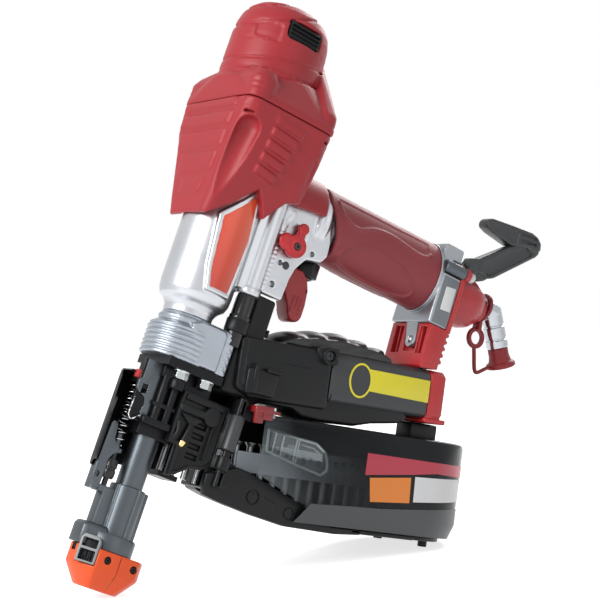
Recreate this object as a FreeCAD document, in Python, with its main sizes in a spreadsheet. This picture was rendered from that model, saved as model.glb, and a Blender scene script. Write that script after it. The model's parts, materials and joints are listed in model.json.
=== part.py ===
"""Coil-fed pneumatic fastener driver, standing on its contact tip and magazine foot.

Two frames are used. The tool frame has its origin in the mouth of the contact tip, +Z up the
barrel and +X towards the air plug; the user's left side is -Y. The magazine frame is the tool
frame turned about Y by the magazine's tilt. Both are leaned back together, so that the tip and
the magazine foot touch the same floor.
"""
import FreeCAD, Part

import math
import os
import re
import Sketcher

SIZES = """
mag_tilt 12            magazine and arm tilt against the barrel, degrees
mag_hinge_x 56          point about which the magazine's tilt is set, behind the barrel axis
mag_hinge_z 140         the same point's height
gap 0.3                clearance beside soft or moving faces
fit 0.05               radial running fit
barrel_r 21.5          cast barrel, outside radius
barrel_foot 163        underside of the barrel casting
floor_thick 9          casting floor under the bumper
neck_step 7            how much thinner the neck is than the barrel
taper_low 5            height of the neck's first cone
taper_high 8           height of the neck's second cone
flange_top 286         top of the casting's flange
flange_thick 10        thickness of the casting's flange
sleeve_wall 1.9        cylinder sleeve wall
cylinder_wall 4.1      casting wall round the cylinder sleeve
bumper_tall 12         piston bumper height
piston_tall 14         piston height
stroke 84              driver stroke
guard_wall 3           moulded guard wall
guard_room 2.5         space between barrel and guard in front
cap_room 6              how much wider the round cap is than the barrel
guard_back 10.5         space and wall between barrel and the guard's rear face
guard_half 40          guard, half width
seam_high 289          parting height between the two guards
shoulder_front 306     height of the guard's front shoulder
shoulder_rear 318      height of the guard's rear shoulder
ear_low 268            lower end of the guard's corner ears
guard_low 222          lower edge of the lower guard in front
cap_top 360            top of the round cap
cap_edge 9             radius of the cap's top edge
vent_wide 21           exhaust window, width
vent_tall 10           exhaust window, height
vent_low 335           lower edge of the exhaust window
head_wall 3            wall of the aluminium cylinder cap
head_flange 12         flange thickness of the cylinder cap
bolt_r 2.5             M5 bolt, shank radius
bolt_hole 2.6          M5 clearance hole radius
bolt_head 4.6          M5 hexagon head, corner radius
head_tall 5            M5 head height
rotor_low 304          lower face of the air motor rotor
rotor_long 30          rotor length
rotor_r 9.5            rotor radius
liner_r 15             motor liner, outside radius
liner_bore 11.5        motor liner bore
end_plate 3            motor end plate thickness
vane_thick 1.4         rotor vane thickness
spindle_r 2.2          splined spindle radius
shaft_r 4.1            driver shaft, outside radius
shaft_bore 2.3         driver shaft bore
bit_r 2.4              driver bit radius at the tip
bit_tip 112.5          tip of the driver bit at rest
bit_long 34            driver bit length below the shaft
holder_low 136         underside of the nose holder
holder_r 20            ribbed foot radius of the nose holder
holder_half 18         half width of the nose holder block
guide_flange 5         flange thickness of the driver guide
guide_front 11.5       driver guide, front face from the axis
guide_half 13          driver guide, half width
guide_low 90           underside of the driver guide's front
chute_low 72           underside of the screw chute
chute_half 5.2         half width of the screw chute
tube_r 6.2             guide tube, outside radius
tube_bore 4.6          guide tube bore
tube_low 30            lower end of the guide tube
contact_travel 28      travel of the contact arm
sleeve_out 10.5        contact sleeve, outside radius
sleeve_top 60          top of the contact sleeve
sleeve_low 22          underside of the contact sleeve
rib_front 17           contact sleeve's adjuster rib, front face
collar_tall 10         collar height
collar_r 15            collar radius
tip_tall 22            contact tip height
tip_half 19            contact tip half width
tip_mouth 11           contact tip half width at the mouth
tip_chamfer 11         height of the tip's lower slope
tip_bore 6.5           contact tip bore radius
dial_r 6.5             adjuster dial radius
dial_tall 11           adjuster dial height
dial_x 14              adjuster dial axis, distance in front of the barrel axis
link_front 25          link plate, front face
link_rear 20           link plate, rear face
link_half 6            link plate half width
link_top 93            link plate top
spring_x 16.5          return spring axis, distance in front of the barrel axis
spring_r 3.4           return spring mean radius
spring_wire 0.4        return spring wire radius
spring_low 80          return spring lower seat
spring_high 117        return spring upper seat
screen_front 31        spring guard, front face
screen_low 65          spring guard, lower end
screen_high 123        spring guard, upper end
screen_wall 2          spring guard wall
screen_half 11         spring guard half width
door_rod_y 19          door hinge axis, towards the user's left
door_rod_r 2.5         door hinge rod radius
door_high 127          top of the door hinge
door_out 17            door, outside face
door_front 6           door, front edge from the axis
feed_half 17           feed housing half width
feed_room 6.5           distance between the barrel and the feed housing's front face
feed_long 28            feed housing length
feed_high 166          top of the feed housing
column_high 191        top of the feed column
column_half 13         feed column half width
feed_axis 118          height of the feed cylinder axis
feed_y 13              feed cylinder axis, towards the user's right
feed_r 5               feed piston radius
feed_travel 10         feed stroke
air_tube_r 5.5         feed air tube radius
air_tube_gap 1.1       distance between barrel and feed air tube
air_tube_y 14          feed air tube axis, towards the user's left
air_tube_split 187     joint between the cast and the black tube
housing_half 15        trigger housing half width
slot_half 9            trigger slot half width
trigger_z 213          trigger pivot height
trigger_room 19.5       distance between barrel and trigger pivot
trigger_half 7         trigger half width
pin_r 2                trigger pin radius
valve_r 8.5            trigger valve cap, corner radius
valve_low 215          underside of the trigger valve cap
valve_tall 10          trigger valve cap height
stem_r 2.4             valve stem radius
stem_low 209           lower end of the valve stem
lever_r 6.5            lock lever boss radius
lever_long 17          lock lever arm length
lever_thick 6          lock lever thickness
grip_z 249             grip axis height
grip_end 152           grip, rear end
grip_tall 45           grip height
grip_wide 37           grip width
grip_wall 3.5          rubber thickness round the handle core
end_thick 15           thickness of the handle's end block
core_bore 11           air chamber radius
end_half 19.5          end block half width
end_low 220            underside of the end block
end_high 273           top of the end block
tab_low 200            lower end of the end block's tab
tab_half 4.5           end block tab half width
tab_thick 3            end block tab thickness
plate_thick 4          rear bracket plate thickness
plate_high 266         top of the rear bracket plate
dome_r 17.5            end cover dome radius
dome_long 31           end cover length
hook_bolt_y 12         hook bolt axis, towards the user's left
hook_bolt_z 257        hook bolt height
hook_bolt_r 4          hook bolt radius
hook_long 52           hook arm length
hook_wide 14           hook blade width
hook_thick 5           hook thickness
plug_r 7.2             air plug body radius
plug_long 8            air plug horizontal run
plug_drop 21           air plug sloping run
plug_slope 55          slope of the air plug's free end, degrees
nipple_r 4.5           air plug nipple radius
nipple_long 10         air plug nipple length
cap_out 8              dust cap radius
cap_long 14            dust cap length
strap_thick 1.6        dust cap strap thickness
arm_low 124            magazine arm, underside
arm_high 154           magazine arm, top
arm_split 127          joint between the black and the grey arm
arm_past 50             length of the grey arm behind the grip
arm_half 20            magazine arm half width
arm_round 6            magazine arm corner radius
arm_cap 13             arm end cap length
wave_high 167          top of the wavy arm guard
wave_half 17           wavy arm guard half width
drum_r 47              magazine drum outside radius
near_side 23            near wall of channel and drum, towards the user's left
drum_wall 2.2          magazine drum wall
drum_low 51            magazine drum underside
drum_high 111          magazine drum top
drum_plate 2.2         magazine drum floor and roof thickness
channel_half 10        screw channel far wall, towards the user's right
hinge_out 3.8          cover hinge axis outside the drum wall
hinge_pin_r 1.5        cover hinge pin radius
knuckle_r 3.4          cover hinge knuckle radius
post_r 6               drum hanger post radius
tray_low 57            underside of the coil tray
tray_thick 2           coil tray thickness
tray_gap 3.8           space round the coil tray
core_post_r 6          coil tray post radius
screw_long 32          screw length under the head
screw_r 1.9            screw shank radius
screw_head 3.6         screw head radius
screw_head_tall 2.6    screw head height
screw_pitch 8.4        distance between screws in the strip
coil_inner 22          coil radius at the first turn
coil_gap 4.2           space round the coil
strip_wide 12          screw strip width
strip_thick 1          screw strip thickness
strip_drop 9           strip middle below the screw heads
base_half 18           magazine base half width
foot_r 3               magazine foot radius
foot_long 4            magazine foot length
latch_long 21          cover latch length
latch_thick 4          cover latch thickness
"""

FITTED = """
guard_front            barrel_r + guard_room + guard_wall
guard_low_half         barrel_r + 1.5
sleeve_r               barrel_r - cylinder_wall
neck_r                 barrel_r - neck_step
air_tube_x             barrel_r + air_tube_gap + air_tube_r - 2.6
column_front           barrel_r + air_tube_gap + 2 * air_tube_r - 1.1
tray_r                 drum_r - drum_wall - tray_gap
coil_r                 drum_r - drum_wall - coil_gap - screw_head
cap_r                  barrel_r + cap_room
guard_rear             barrel_r + guard_back
trigger_x              barrel_r + trigger_room
lever_x                trigger_x + 2.5
lever_z                trigger_z + 12
valve_x                trigger_x + 25.5
housing_rear           trigger_x + 29
grip_start             housing_rear - 10
feed_front             barrel_r + feed_room
feed_rear              feed_front + feed_long
column_rear            column_front + 13.5
door_rod_x             feed_front + 14.7
guide_rear             feed_front - 2
holder_rear            guide_rear + 1
end_rear               grip_end + end_thick
arm_front              feed_rear + 6
arm_rear               grip_end + arm_past
wave_front             arm_front + 30
wave_rear              arm_rear - 18
post_x                 arm_rear + 4
drum_x                 arm_rear + 8
drum_y                 drum_r - near_side
channel_front          feed_rear + 28
latch_x                channel_front + 10.5
foot_x                 drum_x + 18
foot_half              drum_r / 2 + 0.5
mag_turn               mag_tilt - 12
mag_shift_x            mag_hinge_x - mag_hinge_x * cos(mag_turn) + mag_hinge_z * sin(mag_turn)
mag_shift_z            mag_hinge_z - mag_hinge_x * sin(mag_turn) - mag_hinge_z * cos(mag_turn)
"""

doc = FreeCAD.newDocument("screw_driver")
sheet = doc.addObject("Spreadsheet::Sheet", "Sizes")
size = {}
for row, line in enumerate(SIZES.strip().splitlines(), start=1):
    alias, value, note = line.split(None, 2)
    sheet.set("A%d" % row, alias)
    sheet.set("B%d" % row, value)
    sheet.set("C%d" % row, note.strip())
    sheet.setAlias("B%d" % row, alias)
    size[alias] = float(value)
doc.recompute()

WORD = re.compile(r"[a-z][a-z_]*")
# Sizes that follow from others: each is spelt out in full wherever a sub-part is bound to it.
fitted = {}
for line in FITTED.strip().splitlines():
    alias, text = line.split(None, 1)
    fitted[alias] = text
nodes = {}


def bound(text):
    """An expression in sheet aliases, written with the sheet's name as FreeCAD wants it."""
    def spelt(match):
        word = match[0]
        if word in fitted:
            return "(%s)" % bound(fitted[word])
        return "Sizes." + word if word in size else word
    return WORD.sub(spelt, str(text))


def val(text):
    """The number that an expression in sheet aliases has now."""
    return float(sheet.evalExpression(bound(text)))


def at(x, y, z):
    return FreeCAD.Vector(val(x), val(y), val(z))


# ---------------------------------------------------------------- building blocks

TURN = {
    "Z": FreeCAD.Rotation(),
    "X": FreeCAD.Rotation(FreeCAD.Vector(1, 1, 1), 120),
    "Y": FreeCAD.Rotation(FreeCAD.Vector(1, 1, 1), 240),
}
ORDER = {"Z": "xyz", "X": "yzx", "Y": "zxy"}


def place(obj, axis, low, u, v):
    """Stand a primitive on `low` along its axis, with (u, v) its other two coordinates in turn."""
    obj.Placement = FreeCAD.Placement(FreeCAD.Vector(), TURN[axis])
    for letter, text in zip(ORDER[axis], (u, v, low)):
        obj.setExpression("Placement.Base." + letter, bound(text))
    return obj


def box(name, x, y, z):
    obj = doc.addObject("Part::Box", name)
    for side, span, letter in (("Length", x, "x"), ("Width", y, "y"), ("Height", z, "z")):
        obj.setExpression(side, bound("(%s) - (%s)" % (span[1], span[0])))
        obj.setExpression("Placement.Base." + letter, bound(span[0]))
    return obj


def rod(name, axis, radius, low, high, u=0, v=0):
    obj = doc.addObject("Part::Cylinder", name)
    obj.setExpression("Radius", bound(radius))
    obj.setExpression("Height", bound("(%s) - (%s)" % (high, low)))
    return place(obj, axis, low, u, v)


def cone(name, axis, radius_low, radius_high, low, high, u=0, v=0):
    obj = doc.addObject("Part::Cone", name)
    obj.setExpression("Radius1", bound(radius_low))
    obj.setExpression("Radius2", bound(radius_high))
    obj.setExpression("Height", bound("(%s) - (%s)" % (high, low)))
    return place(obj, axis, low, u, v)


def hexagon(name, axis, corner, low, high, u=0, v=0):
    obj = doc.addObject("Part::Prism", name)
    obj.Polygon = 6
    obj.setExpression("Circumradius", bound(corner))
    obj.setExpression("Height", bound("(%s) - (%s)" % (high, low)))
    return place(obj, axis, low, u, v)


def fuse(name, *shapes):
    obj = doc.addObject("Part::MultiFuse", name)
    obj.Shapes = list(shapes)
    obj.Refine = True
    return obj


def group(name, *shapes):
    obj = doc.addObject("Part::Compound", name)
    obj.Links = list(shapes)
    return obj


def cut(name, base, *tools):
    obj = doc.addObject("Part::Cut", name)
    obj.Base = base
    obj.Tool = tools[0] if len(tools) == 1 else fuse(name + "_cutter", *tools)
    return obj


def common(name, one, other):
    obj = doc.addObject("Part::Common", name)
    obj.Base = one
    obj.Tool = other
    return obj


def ring(name, axis, outer, inner, low, high, u=0, v=0):
    bore = rod(name + "_bore", axis, inner, "(%s) - 1" % low, "(%s) + 1" % high, u, v)
    return cut(name, rod(name + "_outer", axis, outer, low, high, u, v), bore)


PLANES = {"Y": ("XZ_Plane", -1), "Z": ("XY_Plane", 1), "X": ("YZ_Plane", 1)}


def sketch_on(body, name, axis, points):
    """A closed outline on one of the body's own origin planes, each corner bound to the sheet."""
    sketch = body.newObject("Sketcher::SketchObject", name + "_outline")
    role = PLANES[axis][0]
    plane = [f for f in body.Origin.OriginFeatures if f.Role == role][0]
    sketch.AttachmentSupport = [(plane, "")]
    sketch.MapMode = "FlatFace"
    corners = [FreeCAD.Vector(val(u), val(v), 0) for u, v in points]
    count = len(corners)
    for i in range(count):
        sketch.addGeometry(Part.LineSegment(corners[i], corners[(i + 1) % count]))
    for i in range(count):
        sketch.addConstraint(Sketcher.Constraint("Coincident", i, 2, (i + 1) % count, 1))
    for i, (u, v) in enumerate(points):
        for kind, text, number in (("DistanceX", u, corners[i].x), ("DistanceY", v, corners[i].y)):
            index = sketch.addConstraint(Sketcher.Constraint(kind, -1, 1, i, 1, number))
            sketch.setExpression("Constraints[%d]" % index, bound(text))
    return sketch


def plate(name, axis, points, low, high, soft=0):
    """An outline padded along `axis` from `low` to `high`, its long edges rounded by `soft`."""
    body = doc.addObject("PartDesign::Body", name)
    sketch = sketch_on(body, name, axis, points)
    sign = PLANES[axis][1]
    sketch.setExpression("AttachmentOffset.Base.z", bound("%d * ((%s) + (%s)) / 2" % (sign, low, high)))
    pad = body.newObject("PartDesign::Pad", name + "_pad")
    pad.Profile = sketch
    pad.Midplane = True
    pad.setExpression("Length", bound("(%s) - (%s)" % (high, low)))
    if soft:
        doc.recompute()
        way = {"X": (1, 0, 0), "Y": (0, 1, 0), "Z": (0, 0, 1)}[axis]
        round_edges(body, pad, name, FreeCAD.Vector(*way), soft)
    return body


def round_edges(body, feature, name, way, radius):
    names = []
    for number, edge in enumerate(feature.Shape.Edges, start=1):
        start, end = edge.Vertexes[0].Point, edge.Vertexes[-1].Point
        line = end - start
        if line.Length > 0 and abs(line.normalize().dot(way)) > 0.999:
            names.append("Edge%d" % number)
    fillet = body.newObject("PartDesign::Fillet", name + "_round")
    fillet.Base = (feature, names)
    fillet.setExpression("Radius", bound(radius))


def turned(name, points, x=0, y=0):
    """A half section of (radius, height) corners revolved about an axis along Z."""
    body = doc.addObject("PartDesign::Body", name)
    sketch = sketch_on(body, name, "Y", points)
    spin = body.newObject("PartDesign::Revolution", name + "_turn")
    spin.Profile = sketch
    spin.ReferenceAxis = (sketch, ["V_Axis"])
    spin.Angle = 360
    body.setExpression("Placement.Base.x", bound(x))
    body.setExpression("Placement.Base.y", bound(y))
    return body


def oval(name, tall, wide, low, high, u, v):
    """A rod of elliptical section along X: `tall` in Z and `wide` in Y."""
    ellipse = doc.addObject("Part::Ellipse", name + "_section")
    ellipse.setExpression("MajorRadius", bound("(%s) / 2" % tall))
    ellipse.setExpression("MinorRadius", bound("(%s) / 2" % wide))
    ellipse.Placement = FreeCAD.Placement(FreeCAD.Vector(),
                                          FreeCAD.Rotation(FreeCAD.Vector(0, 1, 0), -90))
    ellipse.setExpression("Placement.Base.x", bound(low))
    ellipse.setExpression("Placement.Base.y", bound(u))
    ellipse.setExpression("Placement.Base.z", bound(v))
    solid = doc.addObject("Part::Extrusion", name)
    solid.Base = ellipse
    solid.DirMode = "Custom"
    solid.Dir = FreeCAD.Vector(1, 0, 0)
    solid.Solid = True
    solid.setExpression("LengthFwd", bound("(%s) - (%s)" % (high, low)))
    return solid


def coil_spring(name, radius, wire, low, high, turns, x, y):
    """An eight-sided wire swept along a helix that stands along Z, clear of both its seats."""
    thick = val(wire)
    pitch = (val(high) - val(low) - 2 * thick - 0.2) / turns
    helix = Part.makeHelix(pitch, pitch * turns, val(radius))
    way = FreeCAD.Vector(0, 2 * math.pi * val(radius), pitch).normalize()
    outward = FreeCAD.Vector(1, 0, 0)
    corners = []
    for turn in range(9):
        angle = math.radians(22.5 + 45 * turn)
        out = outward * (val(radius) + thick * math.cos(angle))
        corners.append(out + way.cross(outward) * (thick * math.sin(angle)))
    solid = Part.Wire(helix).makePipeShell([Part.makePolygon(corners)], True, True)
    solid.translate(at(x, y, "(%s) + (%s) + 0.1" % (low, wire)))
    obj = doc.addObject("Part::Feature", name)
    obj.Shape = solid
    return obj


def node(name, obj, frame):
    """Give a finished sub-part its label and the frame that it stands in."""
    if obj.ExpressionEngine and obj.TypeId in ("Part::Cylinder", "Part::Box"):
        obj = group(name + "_part", obj)
    obj.Label = name
    nodes[name] = (obj, frame)


# ---------------------------------------------------------------- barrel and cylinder

def body_casting():
    """Cast barrel, flange, trigger housing and hollow handle core, all one aluminium casting."""
    barrel = turned("casting_barrel", [
        ("0", "barrel_foot"), ("neck_r", "barrel_foot"),
        ("barrel_r - 2", "barrel_foot + taper_low"), ("barrel_r", "barrel_foot + taper_low + taper_high"),
        ("barrel_r", "flange_top"), ("0", "flange_top")])
    flange = box("casting_flange", ("-guard_front + guard_wall + gap", "guard_rear - guard_wall - gap"),
                 ("-guard_half + guard_wall + gap", "guard_half - guard_wall - gap"),
                 ("flange_top - flange_thick", "flange_top"))
    housing = plate("casting_housing", "Y", [
        ("barrel_r - 4", "trigger_z + 50"), ("barrel_r - 4", "air_tube_split + 10"),
        ("column_front", "column_high + gap"),
        ("column_rear + 2", "column_high + gap"), ("trigger_x + 7", "trigger_z + 3"),
        ("trigger_x + 14", "valve_low + valve_tall"),
        ("housing_rear", "valve_low + valve_tall"),
        ("housing_rear", "grip_z + grip_tall / 2 - grip_wall"),
        ("housing_rear - 12", "flange_top - flange_thick + 1"),
        ("barrel_r - 4", "flange_top - flange_thick + 1")], "-housing_half", "housing_half")
    handle = oval("casting_handle", "grip_tall - 2 * grip_wall", "grip_wide - 2 * grip_wall",
                  "housing_rear - 6", "grip_end", 0, "grip_z")
    tube = rod("casting_tube", "Z", "air_tube_r + 1", "air_tube_split", "flange_top - 40", "air_tube_x",
               "-air_tube_y")
    solid = fuse("casting_solid", barrel, flange, housing, handle, tube)
    cylinder = rod("casting_cylinder", "Z", "sleeve_r", "barrel_foot + floor_thick", "flange_top + 1")
    shaft_way = rod("casting_shaft_way", "Z", "shaft_r + gap", "barrel_foot - 1",
                    "barrel_foot + floor_thick + 1")
    chamber = rod("casting_chamber", "X", "core_bore", "housing_rear - 14", "grip_end + 1", 0, "grip_z")
    slot = box("casting_slot", ("trigger_x - 9", "housing_rear + 1"), ("-slot_half", "slot_half"),
               ("column_high - 1", "valve_low + valve_tall"))
    valve_way = rod("casting_valve_way", "Z", "stem_r + gap", "valve_low", "grip_z - core_bore + 1",
                    "valve_x", 0)
    pin_way = rod("casting_pin_way", "Y", "pin_r", "-housing_half - 1", "housing_half + 1", "trigger_z",
                  "trigger_x")
    lever_way = rod("casting_lever_way", "Y", "pin_r", "-housing_half - 1", "-slot_half + 1", "lever_z",
                    "lever_x")
    holes = [rod("casting_bolt_way_%d" % i, "Z", "bolt_hole", "flange_top - flange_thick - 1",
                 "flange_top + 1", x, y)
             for i, (x, y) in enumerate(flange_bolts())]
    node("body_casting", cut("body_casting", solid, cylinder, shaft_way, chamber, slot, valve_way,
                             pin_way,
                             lever_way, *holes), "tool")


def flange_bolts():
    far = "guard_half - guard_wall - gap - 7"
    return [(x, y) for x in ("-guard_front + guard_wall + 7", "guard_rear - guard_wall - 7")
            for y in ("-(%s)" % far, far)]


def cylinder_parts():
    node("cylinder_sleeve", ring("cylinder_sleeve", "Z", "sleeve_r", "sleeve_r - sleeve_wall",
                                 "barrel_foot + floor_thick", "flange_top + 2"), "tool")
    node("piston_bumper", ring("piston_bumper", "Z", "sleeve_r - sleeve_wall - gap", "shaft_r + gap",
                               "barrel_foot + floor_thick", "barrel_foot + floor_thick + bumper_tall"),
         "tool")
    low = "barrel_foot + floor_thick + bumper_tall + stroke"
    bore = "sleeve_r - sleeve_wall"
    disc = rod("piston_disc", "Z", bore + " - fit", low, low + " + piston_tall")
    groove = ring("piston_groove", "Z", bore + " + 1", bore + " - 2", low + " + piston_tall / 2 - 1.2",
                  low + " + piston_tall / 2 + 1.2")
    way = rod("piston_way", "Z", "shaft_r + fit", low + " - 1", low + " + piston_tall + 1")
    seat = rod("piston_seat", "Z", "shaft_r + 3 + fit", low + " + 4", low + " + piston_tall - 4 + fit")
    node("piston", cut("piston", disc, groove, way, seat), "tool")
    node("piston_seal", ring("piston_seal", "Z", bore + " - fit", bore + " - 2",
                             low + " + piston_tall / 2 - 1.1",
                             low + " + piston_tall / 2 + 1.1"), "tool")
    tube = rod("shaft_tube", "Z", "shaft_r", "bit_tip + bit_long - 8", low + " + piston_tall")
    collar = rod("shaft_collar", "Z", "shaft_r + 3", low + " + 4 + fit", low + " + piston_tall - 4")
    bore_cut = rod("shaft_bore_cut", "Z", "shaft_bore", "bit_tip + bit_long + 6",
                   low + " + piston_tall + 1")
    socket = hexagon("shaft_socket", "Z", "bit_r", "bit_tip + bit_long - 9", "bit_tip + bit_long")
    node("driver_shaft", cut("driver_shaft", fuse("shaft_body", tube, collar), bore_cut, socket), "tool")
    blade = hexagon("bit_blade", "Z", "bit_r", "bit_tip + 4", "bit_tip + bit_long")
    point = cone("bit_point", "Z", "bit_r / 3", "bit_r * 0.86", "bit_tip", "bit_tip + 4")
    node("driver_bit", fuse("driver_bit", blade, point), "tool")


def cylinder_head():
    """Aluminium cap over the cylinder: a flange and a round motor chamber, with its valve and spring."""
    flange = box("head_flange_box", ("-guard_front + guard_wall + gap", "guard_rear - guard_wall - gap"),
                 ("-guard_half + guard_wall + gap", "guard_half - guard_wall - gap"),
                 ("flange_top", "flange_top + head_flange"))
    dome = rod("head_dome", "Z", "cap_r - guard_wall - gap", "flange_top + head_flange - 1",
               "cap_top - guard_wall - gap - 4")
    room = rod("head_room", "Z", "cap_r - guard_wall - gap - head_wall", "flange_top - 1",
               "cap_top - 2 * guard_wall - head_wall - 4")
    vents = box("head_vents", ("-vent_wide / 2", "vent_wide / 2"), ("-cap_r", "cap_r"),
                ("vent_low", "vent_low + vent_tall"))
    holes = [rod("head_bolt_way_%d" % i, "Z", "bolt_hole", "flange_top - 1",
                 "flange_top + head_flange + 1", x, y)
             for i, (x, y) in enumerate(flange_bolts())]
    node("cylinder_cap", cut("cylinder_cap", fuse("head_body", flange, dome), room, vents, *holes),
         "tool")
    valve_low = "flange_top + 2 + gap"
    node("head_valve", ring("head_valve", "Z", "sleeve_r + 2", "sleeve_r - sleeve_wall - 1", valve_low,
                            valve_low + " + 8"), "tool")
    node("head_valve_spring", coil_spring("head_valve_spring", "sleeve_r", "0.8", valve_low + " + 8",
                                          "rotor_low - end_plate", 1.5, 0, 0), "tool")
    shell = ring("grille_shell", "Z", "cap_r - guard_wall - gap", "cap_r - guard_wall - gap - head_wall",
                 "vent_low", "vent_low + vent_tall")
    inside = box("grille_inside", ("-vent_wide / 2", "vent_wide / 2"), ("-cap_r", "cap_r"),
                 ("vent_low", "vent_low + vent_tall"))
    slots = [box("grille_slot_%d" % i, ("-vent_wide / 2 + 1.5", "vent_wide / 2 - 1.5"),
                 ("-cap_r", "cap_r"),
                 ("vent_low + 1 + %s" % (2.4 * i), "vent_low + 2.2 + %s" % (2.4 * i))) for i in range(4)]
    node("exhaust_grille", cut("exhaust_grille", common("grille_pair", shell, inside), *slots), "tool")


def air_motor():
    """Vane motor above the cylinder; its spindle reaches down into the hollow driver shaft."""
    high = "rotor_low + rotor_long"
    low_plate = ring("motor_plate_low", "Z", "cap_r - guard_wall - gap - head_wall", "spindle_r + 1.5",
                     "rotor_low - end_plate", "rotor_low")
    top_plate = ring("motor_plate_top", "Z", "liner_r", "spindle_r + fit", high, high + " + end_plate")
    node("motor_end_plates", group("motor_end_plates", low_plate, top_plate), "tool")
    shell = rod("liner_shell", "Z", "liner_r", "rotor_low", high)
    bore = rod("liner_bore_cut", "Z", "liner_bore", "rotor_low - 1", high + " + 1",
               "liner_bore - rotor_r - 2 * fit", 0)
    node("motor_liner", cut("motor_liner", shell, bore), "tool")
    drum = rod("rotor_drum", "Z", "rotor_r", "rotor_low + fit", high + " - fit")
    spindle = rod("rotor_spindle", "Z", "spindle_r", "barrel_foot + floor_thick + bumper_tall",
                  high + " + end_plate")
    slots = []
    vanes = []
    for i in range(5):
        for bag, name, half, top in ((slots, "slot", "vane_thick / 2 + fit", "rotor_r + 1"),
                                     (vanes, "vane", "vane_thick / 2", "rotor_r - fit")):
            piece = box("rotor_%s_%d" % (name, i), ("rotor_r - 5", top), ("-(%s)" % half, half),
                        ("rotor_low + 2 * fit", high + " - 2 * fit"))
            turn = FreeCAD.Placement(FreeCAD.Vector(), FreeCAD.Rotation(FreeCAD.Vector(0, 0, 1), 72 * i))
            holder = group("rotor_%s_at_%d" % (name, i), piece)
            holder.Placement = turn
            bag.append(holder)
    node("motor_rotor", cut("motor_rotor", fuse("rotor_body", drum, spindle), *slots), "tool")
    node("motor_vanes", group("motor_vanes", *vanes), "tool")


# ---------------------------------------------------------------- guards

def top_guard():
    """Upper moulded guard: round cap with exhaust windows on a boxy shoulder."""
    dome = turned("cap_dome", [("0", "seam_high"), ("cap_r", "seam_high"),
                               ("cap_r", "cap_top - cap_edge"),
                               ("cap_r - cap_edge / 3", "cap_top - cap_edge / 3"),
                               ("cap_r - cap_edge", "cap_top - 1"), ("0", "cap_top")])
    shoulder = plate("cap_shoulder", "Y", [
        ("-guard_front", "seam_high"), ("guard_rear", "seam_high"), ("guard_rear", "shoulder_front"),
        ("cap_r - 2", "shoulder_rear"), ("-cap_r + 6", "shoulder_front + 4"),
        ("-guard_front", "shoulder_front")],
        "-guard_half", "guard_half")
    room = box("cap_room", ("-guard_front + guard_wall", "guard_rear - guard_wall"),
               ("-guard_half + guard_wall", "guard_half - guard_wall"),
               ("seam_high - 1", "flange_top + head_flange + head_tall + gap"))
    round_room = rod("cap_round_room", "Z", "cap_r - guard_wall", "seam_high", "cap_top - guard_wall - 4")
    vents = box("cap_vents", ("-vent_wide / 2", "vent_wide / 2"), ("-cap_r - 1", "cap_r + 1"),
                ("vent_low", "vent_low + vent_tall"))
    node("top_guard", cut("top_guard", fuse("cap_body", dome, shoulder), room, round_room, vents), "tool")


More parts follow.
